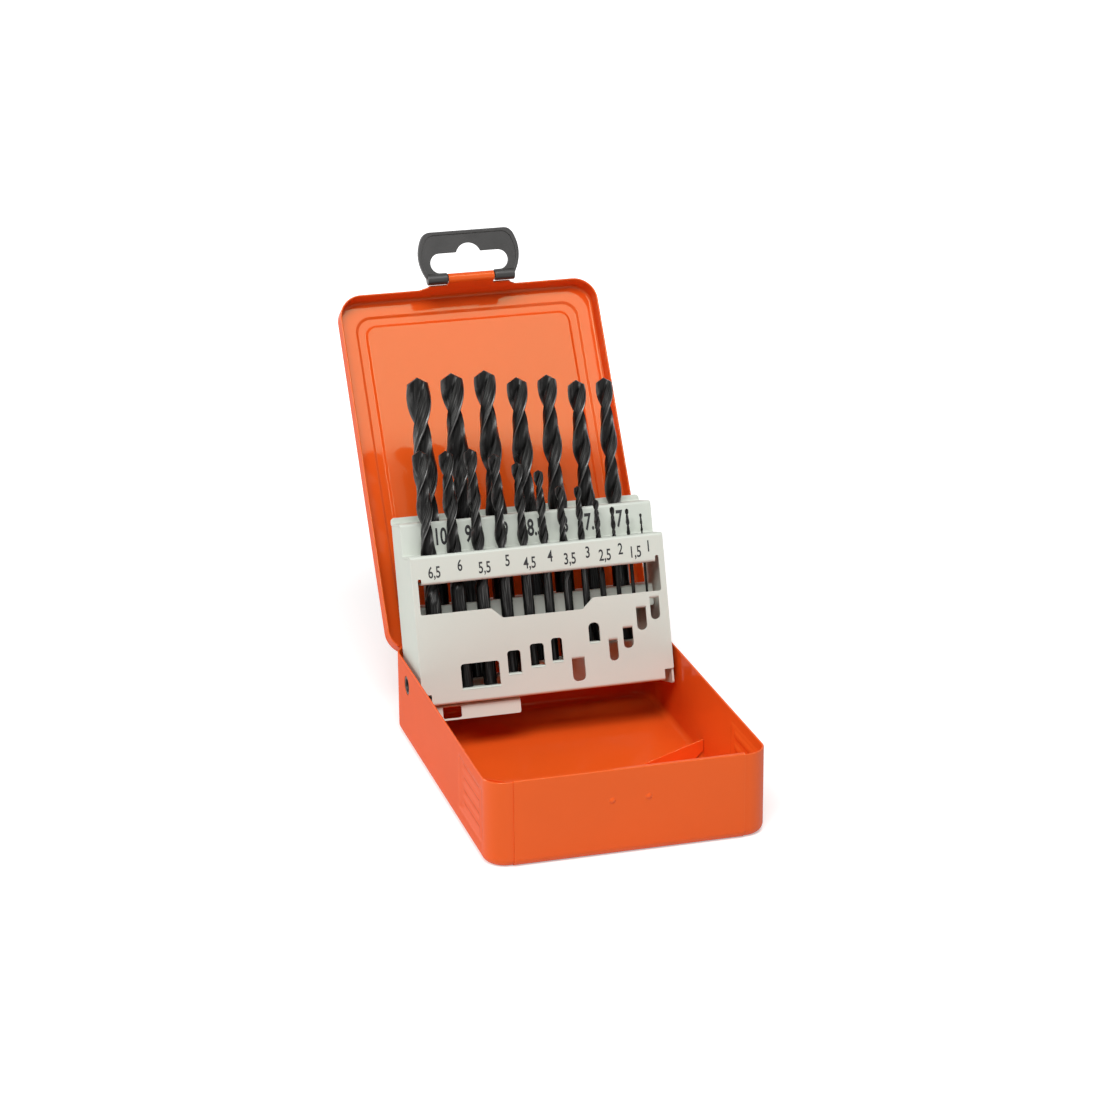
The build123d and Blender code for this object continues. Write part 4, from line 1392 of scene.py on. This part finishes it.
@dataclass
class Holder:
    """Stepped holder that carries the drills, in its own frame.

    Attributes:
        half: half its width.
        sheet: thickness of its sheet.
        front_depth: how far behind the face the front row stands.
        back_depth: the same for the back row.
        back_row: diameter and place of each drill in the back row.
        front_row: the same for the front row.
    """

    half: float = 53.25
    sheet: float = 0.8
    front_depth: float = 6.6
    back_depth: float = 21.5
    back_row: dict[float, float] = field(default_factory=dict)
    front_row: dict[float, float] = field(default_factory=dict)

    def __post_init__(self) -> None:
        """Work out where the drills stand."""
        self.back_row = self.spread([10.0 - 0.5 * i for i in range(7)], 9.55)
        self.front_row = self.spread([6.5 - 0.5 * i for i in range(12)], 6.15)

    def spread(self, sizes: Sequence[float], margin: float) -> dict[float, float]:
        """Places of a row of drills with equal webs of sheet between them.

        Args:
            sizes: diameters from left to right.
            margin: sheet left at either end.

        Returns:
            The place of each diameter.
        """
        web = (2 * (self.half - margin) - sum(sizes)) / (len(sizes) - 1)
        places, edge = {}, margin - self.half
        for size in sizes:
            places[size] = edge + size / 2
            edge += size + web
        return places

    def bend(self, name: str, loops: list[Loop], path: FoldPath) -> bpy.types.Object:
        """Fold a flat pattern of the holder's own sheet."""
        return fold_sheet(name, loops, path, self.sheet, 0.08)

    @staticmethod
    def placed() -> Matrix:
        """Movement from the holder's own frame to its open place in the tray."""
        return (Matrix.Translation((0, *PIVOT))
                @ Matrix.Rotation(-math.radians(LEAN), 4, "X")
                @ Matrix.Translation((0, -16.0, 52.5)))

    def windows(self) -> list[StopWindow]:
        """List the stop windows from left to right."""
        rows = ((6.0, 5.5, 0.2, 0.0, -54.8, -45.0, True, 1.3),
                (5.0, 5.0, 0.9, -0.3, -50.8, -41.7, True, 1.3),
                (4.5, 4.5, 0.7, 0.7, -48.9, -39.9, True, 1.3),
                (4.0, 4.0, 0.6, 0.1, -47.8, -38.5, True, 1.3),
                (3.5, 3.5, 1.0, 1.0, -57.1, -48.1, False, 2.1),
                (3.0, 3.0, 0.8, 0.9, -41.7, -33.9, True, 2.1),
                (2.5, 2.5, 0.2, 1.2, -50.4, -42.1, False, 2.1),
                (2.0, 2.0, 0.8, 1.5, -45.9, -37.7, False, 2.1),
                (1.5, 1.5, 0.9, 1.9, -39.1, -30.1, False, 2.1),
                (1.0, 1.0, 0.7, 2.3, -35.3, -26.6, False, 2.1))
        return [StopWindow(self.front_row[first] - first / 2 - before,
                           self.front_row[last] + last / 2 + after, foot, head, at_foot,
                           corner)
                for first, last, before, after, foot, head, at_foot, corner in rows]

    def face(self) -> bpy.types.Object:
        """Make the stepped sheet, folded from one blank."""
        rise = math.radians(8.0)
        path = FoldPath([(0.4 + 10 * math.cos(rise), -60.4 + 10 * math.sin(rise)),
                         (0.4, -60.4), (0.4, -0.4), (13.4, -0.4), (13.4, 12.6), (29.6, 12.6),
                         (29.6, 15.4)])

        def height(u: float) -> float:
            return path.station(1, u + 60.4)

        neck, notch = self.half - 4.0, height(-56.1)
        outline = [(-neck, 0), (neck, 0), (neck, notch), (self.half, notch),
                   (self.half, path.total), (-self.half, path.total), (-self.half, notch),
                   (-neck, notch)]
        loops = [rounded(outline, [1.2, 1.2, 0.3, 0.6, 1.5, 1.5, 0.6, 0.3], 4)]
        side, top, low = 50.8, height(-11.75 + 1.2), height(-23.75)
        dip = height(-28.05)
        ear = height(-11.75 + 2.6)
        window = [(-side, low), (-21.5, low), (-16.8, dip), (16.8, dip), (21.5, low), (side, low),
                  (side, ear), (side - 1.5, ear), (side - 1.5, top), (1.5 - side, top),
                  (1.5 - side, ear), (-side, ear)]
        loops.append(rounded(window, [0.8, 1.5, 1.5, 1.5, 1.5, 0.8, 0.6, 0.6, 0, 0, 0.6, 0.6], 4))
        for stop in self.windows():
            foot, head = (height(u) for u in stop.opening())
            corners = [(stop.left, foot), (stop.right, foot), (stop.right, head),
                       (stop.left, head)]
            free = min(stop.corner, (stop.right - stop.left) / 2.2)
            radii = [0.2, 0.2, free, free] if stop.at_foot else [free, free, 0.2, 0.2]
            loops.append(rounded(corners, radii, 6))
        for row, straight, depth in ((self.front_row, 2, self.front_depth - self.sheet / 2),
                                     (self.back_row, 4, 8.1)):
            for size, x in row.items():
                loops.append(arc((x, path.station(straight, depth)), size / 2 + 0.15, 0,
                                 360, 40)[:-1])
        return self.bend("holder_sheet", loops, path)

    def flap(self) -> bpy.types.Object:
        """Make the guide flap, bent in from the head of the long window."""
        path = FoldPath([(0.4, -11.75 + 1.2), (0.4, -11.35), (16.7, -11.35)])

        def depth(d: float) -> float:
            return path.station(1, d - 0.4)

        side = 49.3
        outline = [(-side, 0), (side, 0), (side, depth(12)), (21.5, depth(12)),
                   (16.8, depth(16.3)), (-16.8, depth(16.3)), (-21.5, depth(12)),
                   (-side, depth(12))]
        loops = [rounded(outline, [0, 0, 0.8, 1, 1, 1, 1, 0.8], 4)]
        loops += [arc((x, depth(self.front_depth)), size / 2 + 0.15, 0, 360, 32)[:-1]
                  for size, x in self.front_row.items()]
        return self.bend("guide_flap", loops, path)

    def bracket(self) -> bpy.types.Object:
        """Make the bracket under the longest drill, with its slotted lip."""
        left, right = -47.0, -12.0
        path = FoldPath([(29.2, -61.5), (3.4, -61.5), (3.4, -67.4)])
        outline = [(left, 0), (right, 0), (right, path.total), (left, path.total)]
        slot_left, slot_right = left + 6.3 - 3.9, left + 6.3 + 3.9
        low, high = path.station(1, 0.35), path.station(1, 5.15)
        slot = [(slot_left, low), (slot_right, low), (slot_right, high), (slot_left, high)]
        loops = [rounded(outline, [0, 0, 0.8, 0.8], 4), rounded(slot, 0.8, 4)]
        return self.bend("stop_shelf", loops, path)

    def back_stops(self) -> list[tuple[float, float, float]]:
        """List the back row's stops: left side, right side and height."""
        rows = ((9.5, 9.0, -52.5), (8.5, 8.0, -48.5), (7.5, 7.0, -43.8))
        return [(self.back_row[first] - first / 2 - 0.6, self.back_row[last] + last / 2 + 0.6,
                 height) for first, last, height in rows]

    def sides_and_back(self) -> bpy.types.Object:
        """Make both sides and the back from one blank, bent round the back corners."""
        middle = self.half - self.sheet / 2
        path = FoldPath([(-middle, 0.9), (-middle, 29.6), (middle, 29.6), (middle, 0.9)])
        step, low = 13.9, -62.3
        left = [(12.1, path.station(0, 27.8)), (12.1, path.station(0, step - 0.9)),
                (-0.9, path.station(0, step - 0.9)), (-0.9, 0.0)]
        right = [(u, path.total - s) for u, s in left[::-1]]
        outline = [(low, 0.0), (low, path.total), *right, (-21.4, path.station(2, 0.9)),
                   (-21.4, path.station(0, 27.8)), *left]
        radii = [1.0, 1.0, 0.3, 0.8, 1.2, 0.5, 0.6, 0.6, 0.5, 1.2, 0.8, 0.3]
        loops = [rounded(outline, radii, 4)]
        for x0, x1, height in self.back_stops():
            corners = [(height - 1.2, path.station(1, x0 + middle)),
                       (height - 1.2, path.station(1, x1 + middle)),
                       (height + 12.5, path.station(1, x1 + middle)),
                       (height + 12.5, path.station(1, x0 + middle))]
            loops.append(rounded(corners, [0.2, 0.2, 1.3, 1.3], 5))
        sheet = self.bend("sides_and_back", loops, path)
        sheet.data.transform(Matrix(((0, 1, 0, 0), (0, 0, 1, 0), (1, 0, 0, 0), (0, 0, 0, 1))))
        return sheet

    def guide_shelf(self) -> bpy.types.Object:
        """Make the back row's guide shelf with its lip turned down in front."""
        path = FoldPath([(28.9, -21.8), (15.6, -21.8), (15.6, -30.4)])
        side = self.half - 1.6
        outline = [(-side, 0), (side, 0), (side, path.total), (-side, path.total)]
        loops = [rounded(outline, [0.2, 0.2, 1.0, 1.0], 4)]
        level = path.station(0, 28.9 - self.back_depth)
        loops += [arc((x, level), size / 2 + 0.15, 0, 360, 40)[:-1]
                  for size, x in self.back_row.items()]
        return self.bend("guide_shelf", loops, path)

    def back_tab(self, left: float, right: float, height: float) -> bpy.types.Object:
        """Make one stop of the back row, folded forward out of the back."""
        path = FoldPath([(29.6, height - 1.2), (29.6, height - 0.4), (17.5, height - 0.4)])
        outline = [(left, 0), (right, 0), (right, path.total), (left, path.total)]
        return self.bend("back_stop", [rounded(outline, [0, 0, 1.0, 1.0], 4)], path)

    def boss(self, side: int) -> bpy.types.Object:
        """Make a hollow pivot boss on one side of the holder."""
        profile = [(53.1, 0.0), (53.1, 3.95), (55.1, 3.95), (55.45, 3.85), (55.62, 3.6),
                   (55.65, 3.3), (55.6, 3.0), (55.4, 2.75), (55.0, 2.6), (54.1, 2.5),
                   (53.9, 2.2), (53.85, 0.0)]
        return soften(turned_x("boss", [(side * x, r) for x, r in profile], 16.0, -52.5), 0)

    def build(self) -> None:
        """Make and dress every piece of the holder."""
        sheets = [self.face(), self.flap(), *(stop.tab() for stop in self.windows())]
        dress(place(join("stepped_sheet", sheets), self.placed()), CREAM, Body.HOLDER.value,
              ["holder_face"])
        dress(place(self.bracket(), self.placed()), CREAM, Body.HOLDER.value, ["stop_bracket"])
        frame_sheets = [self.sides_and_back(), self.guide_shelf(),
                        *(self.back_tab(*stop) for stop in self.back_stops())]
        dress(place(join("side_and_back_frame", frame_sheets), self.placed()), CREAM,
              Body.HOLDER.value, ["holder_frame"])
        # The bosses' dark finish is painted shade for the tray's pivot holes.
        bosses = join("pivot_bosses", [self.boss(side) for side in (-1, 1)])
        dress(place(bosses, self.placed()), PIVOT_BOSS_SHADE, Body.HOLDER.value, ["holder_bosses"])


@dataclass
class SizeNumbers:
    """Printed size numbers on the holder.

    Attributes:
        holder: the holder that carries them.
        proud: thickness of the ink.
    """

    holder: Holder
    proud: float = 0.04

    def number(self, text: str, x: float, z: float, y: float, height: float,
               narrow: float, bold: float) -> bpy.types.Object:
        """Make one number as a thin solid.

        Args:
            text: its characters.
            x: its middle across the holder.
            z: its baseline.
            y: depth of the face it is printed on.
            height: height of its digits.
            narrow: width of the letters over their usual width.
            bold: outward offset of their outline over their height.

        Returns:
            The number, in the holder's frame.
        """
        curve = bpy.data.curves.new("number", "FONT")
        curve.body = text
        curve.align_x = "CENTER"
        curve.size = height / 0.7
        curve.extrude = self.proud / 2
        curve.offset = height * bold
        curve.resolution_u = 4
        writing = stage("number", curve)
        graph = bpy.context.evaluated_depsgraph_get()
        graph.update()
        mesh = bpy.data.meshes.new_from_object(writing.evaluated_get(graph))
        bpy.data.objects.remove(writing)
        mesh.transform(Matrix.Translation((x, y - self.proud / 2, z))
                       @ Matrix.Rotation(math.radians(90), 4, "X")
                       @ Matrix.Diagonal((narrow, 1.0, 1.0, 1.0)))
        vertices = [v.co[:] for v in mesh.vertices]
        faces = [tuple(p.vertices) for p in mesh.polygons]
        return mesh_object("number", vertices, faces)

    def build(self) -> None:
        """Print both rows."""
        numbers = []
        for size, x in self.holder.front_row.items():
            text = f"{size:g}".replace(".", ",")
            low = -7.3 if size % 1 == 0 else -9.1
            numbers.append(self.number(text, x + 0.2, low, 0.0, 4.6, 0.67, 0.02))
        for size, x in self.holder.back_row.items():
            numbers.append(self.number(f"{size:g}", 0.45 + 0.965 * x, 3.5, 13.0, 6.7, 0.6, 0.035))
        print_object = join("size_numbers", numbers)
        dress(place(print_object, self.holder.placed()), INK, Body.HOLDER.value)


# ---- drills by geometry nodes ---------------------------------------------------------------
class Amount:
    """A number that a geometry node tree works out, with the usual signs.

    Args:
        tree: the tree.
        socket: where the number comes out.
    """

    def __init__(self, tree: bpy.types.NodeTree, socket: bpy.types.NodeSocket) -> None:
        self.tree = tree
        self.socket = socket

    def act(self, operation: str, *others: "Amount | float") -> "Amount":
        """Join this number with others by one step of arithmetic.

        Args:
            operation: the Math node's operation.
            others: the other numbers.

        Returns:
            The result.
        """
        node = self.tree.nodes.new("ShaderNodeMath")
        node.operation = operation
        for socket, value in zip(node.inputs, (self, *others)):
            if isinstance(value, Amount):
                self.tree.links.new(value.socket, socket)
            else:
                socket.default_value = value
        return Amount(self.tree, node.outputs[0])

    def __add__(self, other: "Amount | float") -> "Amount":
        """Sum."""
        return self.act("ADD", other)

    def __sub__(self, other: "Amount | float") -> "Amount":
        """Difference."""
        return self.act("SUBTRACT", other)

    def __mul__(self, other: "Amount | float") -> "Amount":
        """Product."""
        return self.act("MULTIPLY", other)

    def __truediv__(self, other: "Amount | float") -> "Amount":
        """Quotient."""
        return self.act("DIVIDE", other)

    def away_from(self, value: float) -> "Amount":
        """A number less this one."""
        return self.act("MULTIPLY_ADD", -1.0, value)

    def limited(self, low: float = 0.0, high: float = 1.0) -> "Amount":
        """Keep between two numbers."""
        return self.act("MAXIMUM", low).act("MINIMUM", high)

    def eased(self) -> "Amount":
        """Smooth step of a number from 0 to 1."""
        share = self.limited()
        return share * share * (share * 2.0).away_from(3.0)


@dataclass(frozen=True)
class DrillSize:
    """Sizes of one twist drill.

    Attributes:
        diameter: its diameter.
        overall: its length.
        flute: length of its flutes.
        neck: how far below the point the flutes first stand side by side.
        stop: height of its stop in the holder.
    """

    diameter: float
    overall: float
    flute: float
    neck: float
    stop: float

    @property
    def name(self) -> str:
        """Name of its node and of its body."""
        return f"drill_{round(self.diameter * 10):03d}"


@dataclass
class TwistDrillTree:
    """Geometry node tree that makes a twist drill from its sizes.

    Attributes:
        columns: facets round the drill.
        helix: helix angle in degrees.
        point: point angle in degrees.
        flute_half: half the angle that a flute takes, in degrees.
        web: half the web over the radius.
        facing: direction in degrees that the flutes face at the neck.
        margin_from: angle in degrees at which a land's full-size margin starts.
        relief: step behind the margin over the radius.
        heel_drop: further drop to the heel over the radius.
        tip_rows: rows of faces on the point.
    """

    columns: int = 72
    helix: float = 27.8
    point: float = 118.0
    flute_half: float = 49.0
    web: float = 0.26
    facing: float = -21.8
    margin_from: float = 122.0
    relief: float = 0.07
    heel_drop: float = 0.17
    tip_rows: int = 5

    def interface(self, tree: bpy.types.NodeTree) -> dict[str, str]:
        """Add the tree's inputs and output.

        Args:
            tree: the tree.

        Returns:
            The identifier of each input by its name.
        """
        names = {}
        for title in ("Diameter", "Overall", "Flute", "Neck"):
            socket = tree.interface.new_socket(title, in_out="INPUT",
                                               socket_type="NodeSocketFloat")
            names[title] = socket.identifier
        rows = tree.interface.new_socket("Rows", in_out="INPUT", socket_type="NodeSocketInt")
        names["Rows"] = rows.identifier
        steel = tree.interface.new_socket("Steel", in_out="INPUT",
                                          socket_type="NodeSocketMaterial")
        names["Steel"] = steel.identifier
        tree.interface.new_socket("Drill", in_out="OUTPUT", socket_type="NodeSocketGeometry")
        return names

    def build(self) -> tuple[bpy.types.NodeTree, dict[str, str]]:
        """Build the tree.

        Returns:
            The tree and the identifiers of its inputs.
        """
        tree = bpy.data.node_groups.new("twist_drill", "GeometryNodeTree")
        names = self.interface(tree)
        bench = NodeBench(tree)
        given = bench.add("NodeGroupInput")
        result = bench.add("NodeGroupOutput")

        def amount(title: str) -> Amount:
            return Amount(tree, given.outputs[title])

        radius = amount("Diameter") * 0.5
        overall, rows = amount("Overall"), amount("Rows")
        shank = overall - amount("Flute")
        total = rows + (3.0 + self.tip_rows)
        grid = bench.add("GeometryNodeMeshGrid", {
            "Size X": 1.0, "Size Y": 1.0, "Vertices X": (total + 1.0).socket,
            "Vertices Y": self.columns + 1})
        where = bench.add("ShaderNodeSeparateXYZ",
                          {0: bench.add("GeometryNodeInputPosition").outputs[0]})
        row = ((Amount(tree, where.outputs[0]) + 0.5) * total).act("ROUND")
        angle = (Amount(tree, where.outputs[1]) + 0.5) * (2 * math.pi)

        cosine = math.cos(math.radians(self.flute_half))
        reach = (1 - self.web ** 2) / (2 * (cosine - self.web))
        size = reach - self.web
        along = angle.act("COSINE").act("ABSOLUTE")
        across = (along * along).away_from(1.0) * reach ** 2
        inside = across.away_from(size ** 2).act("MAXIMUM", 0.0).act("SQRT")
        hollow = along * reach - inside
        is_land = along.act("LESS_THAN", cosine + 1e-4)
        wrapped = angle.act("FLOORED_MODULO", math.pi)
        heel = ((wrapped.away_from(math.radians(self.margin_from)))
                / math.radians(self.margin_from - self.flute_half) * 1.3)
        behind = heel.act("GREATER_THAN", 0.0)
        land = (behind * self.relief + heel.eased() * self.heel_drop).away_from(1.0)
        section = is_land * land + is_land.away_from(1.0) * hollow.act("MINIMUM", 1.0)

        slope = 1 / math.tan(math.radians(self.point / 2))
        crown = overall - radius * section * slope
        climb = ((row - 3.0) / rows).limited()
        height_in_flutes = shank + (crown - shank) * climb
        depth = ((height_in_flutes - shank) / (radius * 2.4)).eased()
        skin = (section.away_from(1.0) * depth).away_from(1.0)
        narrowing = ((row - (rows + 3.0)) / float(self.tip_rows)).limited().away_from(1.0)
        foot = (row * 0.93).limited()
        distance = radius * skin * narrowing * foot
        in_point = row.act("GREATER_THAN", rows + 3.0)
        in_flutes = row.act("GREATER_THAN", 2.5)
        low = radius * 0.07 * (row - 1.0).limited()
        height = (in_point * (overall - distance * slope)
                  + in_point.away_from(1.0) * (in_flutes * height_in_flutes
                                               + in_flutes.away_from(1.0) * low))
        lead = radius * (2 * math.pi / math.tan(math.radians(self.helix)))
        level = height.act("MAXIMUM", shank)
        twist = ((level - overall + amount("Neck")) / lead) * (2 * math.pi)
        turned = angle + twist + math.radians(self.facing)
        spot = bench.add("ShaderNodeCombineXYZ", {
            0: (distance * turned.act("COSINE")).socket,
            1: (distance * turned.act("SINE")).socket, 2: height.socket})
        chart = bench.add("ShaderNodeSeparateXYZ", {0: grid.outputs["UV Map"]})
        around = Amount(tree, chart.outputs[1]) * radius * (2 * math.pi)
        run = bench.add("ShaderNodeCombineXYZ", {0: around.socket, 1: height.socket})
        noted = bench.add("GeometryNodeStoreNamedAttribute",
                          {"Geometry": grid.outputs["Mesh"], "Name": "run",
                           "Value": run.outputs[0]}, data_type="FLOAT_VECTOR", domain="CORNER")
        # Mask for the drill's colour: 1 on the margins, which get a painted highlight, 0.5 on the
        # rest of the lands, 0 in the flutes.
        land = is_land * in_flutes * (behind * 0.5).away_from(1.0)
        ground = bench.add("GeometryNodeStoreNamedAttribute",
                           {"Geometry": noted.outputs[0], "Name": "land", "Value": land.socket},
                           data_type="FLOAT", domain="POINT")
        moved = bench.add("GeometryNodeSetPosition", {"Geometry": ground.outputs[0],
                                                      "Position": spot.outputs[0]})
        merged = bench.add("GeometryNodeMergeByDistance",
                           {"Geometry": moved.outputs[0], "Distance": 1e-4})
        outward = bench.add("GeometryNodeFlipFaces", {"Mesh": merged.outputs[0]})
        smooth = bench.add("GeometryNodeSetShadeSmooth", {"Geometry": outward.outputs[0]})
        real = bench.add("GeometryNodeRealizeInstances", {"Geometry": smooth.outputs[0]})
        painted = bench.add("GeometryNodeSetMaterial", {"Geometry": real.outputs[0],
                                                        "Material": given.outputs["Steel"]})
        tree.links.new(painted.outputs[0], result.inputs["Drill"])
        return tree, names


@dataclass
class DrillSet:
    """The drills standing in the holder.

    Attributes:
        holder: the holder they stand in.
        tree: the maker of their shape.
    """

    holder: Holder
    tree: TwistDrillTree = field(default_factory=TwistDrillTree)

    def sizes(self) -> list[DrillSize]:
        """List the drills of both rows."""
        back = ((10.0, 133, 87, 19.0, -61.1), (9.5, 125, 81, 15.7, -52.5),
                (9.0, 125, 81, 14.7, -52.5), (8.5, 117, 75, 13.8, -48.5),
                (8.0, 117, 75, 13.0, -48.5), (7.5, 109, 69, 12.8, -43.8),
                (7.0, 109, 69, 11.8, -43.8))
        front = ((6.5, 101, 63, 11.0), (6.0, 96.3, 57, 10.0), (5.5, 96.2, 57, 9.4),
                 (5.0, 89.2, 52, 8.4), (4.5, 83.1, 47, 7.6), (4.0, 78.0, 43, 6.8),
                 (3.5, 70, 39, 5.9), (3.0, 63.8, 33, 5.1), (2.5, 57, 30, 4.2),
                 (2.0, 49, 24, 3.4), (1.5, 40, 18, 2.5), (1.0, 34, 12, 1.7))
        drills = [DrillSize(*row[:4], row[4] + 0.1) for row in back]
        return drills + [DrillSize(*row, self.front_stop(row[0])) for row in front]

    def front_stop(self, diameter: float) -> float:
        """Height at which a drill of the front row ends.

        Args:
            diameter: the drill's diameter.

        Returns:
            The height in the holder's frame.
        """
        place_across = self.holder.front_row[diameter]
        for stop in self.holder.windows():
            if stop.left < place_across < stop.right:
                return stop.foot - 0.1 if stop.at_foot else stop.head + 0.9
        slope = math.tan(math.radians(8.0))
        return (self.holder.front_depth + diameter / 2) * slope - 59.9

    def build(self) -> None:
        """Make and dress every drill."""
        tree, names = self.tree.build()
        lead_share = math.pi / math.tan(math.radians(self.tree.helix))
        for drill in self.sizes():
            obj = stage(f"twist_{drill.name}", bpy.data.meshes.new(drill.name))
            modifier = obj.modifiers.new("twist_drill", "NODES")
            modifier.node_group = tree
            rows = math.ceil(drill.flute / (drill.diameter * lead_share) * 64)
            values = {"Diameter": drill.diameter, "Overall": float(drill.overall),
                      "Flute": float(drill.flute), "Neck": drill.neck, "Rows": rows,
                      "Steel": OXIDE_WITH_PAINTED_HIGHLIGHTS.material()}
            for title, value in values.items():
                modifier[names[title]] = value
            settle(obj)
            holder = self.holder
            row, depth = ((holder.back_row, holder.back_depth)
                          if drill.diameter in holder.back_row
                          else (holder.front_row, holder.front_depth))
            stand = Matrix.Translation((row[drill.diameter], depth, drill.stop))
            obj.data.set_sharp_from_angle(angle=math.radians(38.0))
            dress(place(obj, self.holder.placed() @ stand), OXIDE_WITH_PAINTED_HIGHLIGHTS, drill.name, [drill.name])


# ---- studio ---------------------------------------------------------------------------------
@dataclass(frozen=True)
class Lamp:
    """Soft rectangular lamp.

    Attributes:
        name: its name.
        spot: its place in metres.
        aim: the point it faces.
        size: its width and height in metres.
        power: its power in watts.
    """

    name: str
    spot: tuple[float, float, float]
    aim: tuple[float, float, float]
    size: tuple[float, float]
    power: float


@dataclass
class Studio:
    """Floor, lamps, world and camera.

    Attributes:
        eye: the camera's place in millimetres.
        right: direction of its right-hand side.
        up: direction of its top.
        back: direction behind it.
        lens: focal length in millimetres for a 36 mm square picture.
        lamp_edge: direction of the lamps' lower edges.
        surround: strength of the surround's light on the case.
        lamps: the lamps.
    """

    eye: tuple[float, float, float] = (-335.902, -1154.227, 521.795)
    right: tuple[float, float, float] = (0.961516, -0.274652, -0.007236)
    up: tuple[float, float, float] = (0.098189, 0.318910, 0.942685)
    back: tuple[float, float, float] = (-0.256603, -0.907118, 0.333605)
    lens: float = 107.0179
    lamp_edge: tuple[float, float, float] = (1.0, 0.05, -0.1)
    surround: float = 0.15
    lamps: tuple[Lamp, ...] = (
        Lamp("overhead", (0.191, -0.372, 0.976), (0.0, 0.13, 0.10), (0.36, 0.42), 2.6),
        Lamp("front", (-0.40, -0.86, 1.32), (0.0, 0.0, 0.05), (0.9, 0.6), 19.5),
        Lamp("left_side", (-1.1, 0.45, 0.5), (0.0, 0.0, 0.05), (0.6, 0.6), 6.6))

    def camera(self) -> None:
        """Set up the camera."""
        data = bpy.data.cameras.new("camera")
        data.lens = self.lens
        data.sensor_fit = "HORIZONTAL"
        data.sensor_width = 36.0
        data.clip_start = 0.05
        data.clip_end = 50.0
        camera = stage("camera", data)
        turn = Matrix((self.right, self.up, self.back)).transposed().to_4x4()
        camera.matrix_world = Matrix.Translation(Vector(self.eye) * MM) @ turn
        bpy.context.scene.camera = camera

    def hang(self, lamp: Lamp) -> None:
        """Hang one lamp, with its lower edge along lamp_edge."""
        data = bpy.data.lights.new(lamp.name, "AREA")
        data.shape = "RECTANGLE"
        data.size, data.size_y = lamp.size
        data.energy = lamp.power
        light = stage(lamp.name, data)
        back = (Vector(lamp.spot) - Vector(lamp.aim)).normalized()
        side = Vector(self.lamp_edge)
        side = (side - back * side.dot(back)).normalized()
        turn = Matrix((side, back.cross(side), back)).transposed().to_4x4()
        light.matrix_world = Matrix.Translation(lamp.spot) @ turn

    def world(self) -> None:
        """Set up an even pale surround."""
        world = bpy.data.worlds.new("surround")
        world.use_nodes = True
        world.node_tree.nodes.clear()
        bench = NodeBench(world.node_tree)
        light = bench.add("ShaderNodeBackground", {
            "Color": (1.0, 1.0, 1.0, 1.0),
            "Strength": bench.span(bench.seen(), self.surround, 1.0)})
        output = bench.add("ShaderNodeOutputWorld")
        world.node_tree.links.new(light.outputs[0], output.inputs["Surface"])
        bpy.context.scene.world = world

    def build(self) -> None:
        """Set up the whole studio."""
        floor = mesh_object("floor", [(-6000, -6000, 0), (6000, -6000, 0), (6000, 6000, 0),
                                      (-6000, 6000, 0)], [(0, 1, 2, 3)])
        place(floor).data.materials.append(FLOOR.material())
        self.world()
        for lamp in self.lamps:
            self.hang(lamp)
        self.camera()
        bpy.context.scene.view_settings.view_transform = "Standard"


def main() -> None:
    """Build the case in order, then the studio."""
    logging.basicConfig(level=logging.INFO, format="%(message)s")
    hinge = Hinge()
    Tray(hinge=hinge).build()
    Lid(hinge=hinge).build()
    Hanger().build(hinge)
    holder = Holder()
    holder.build()
    SizeNumbers(holder).build()
    DrillSet(holder).build()
    Studio().build()


if __name__ == "__main__":
    main()
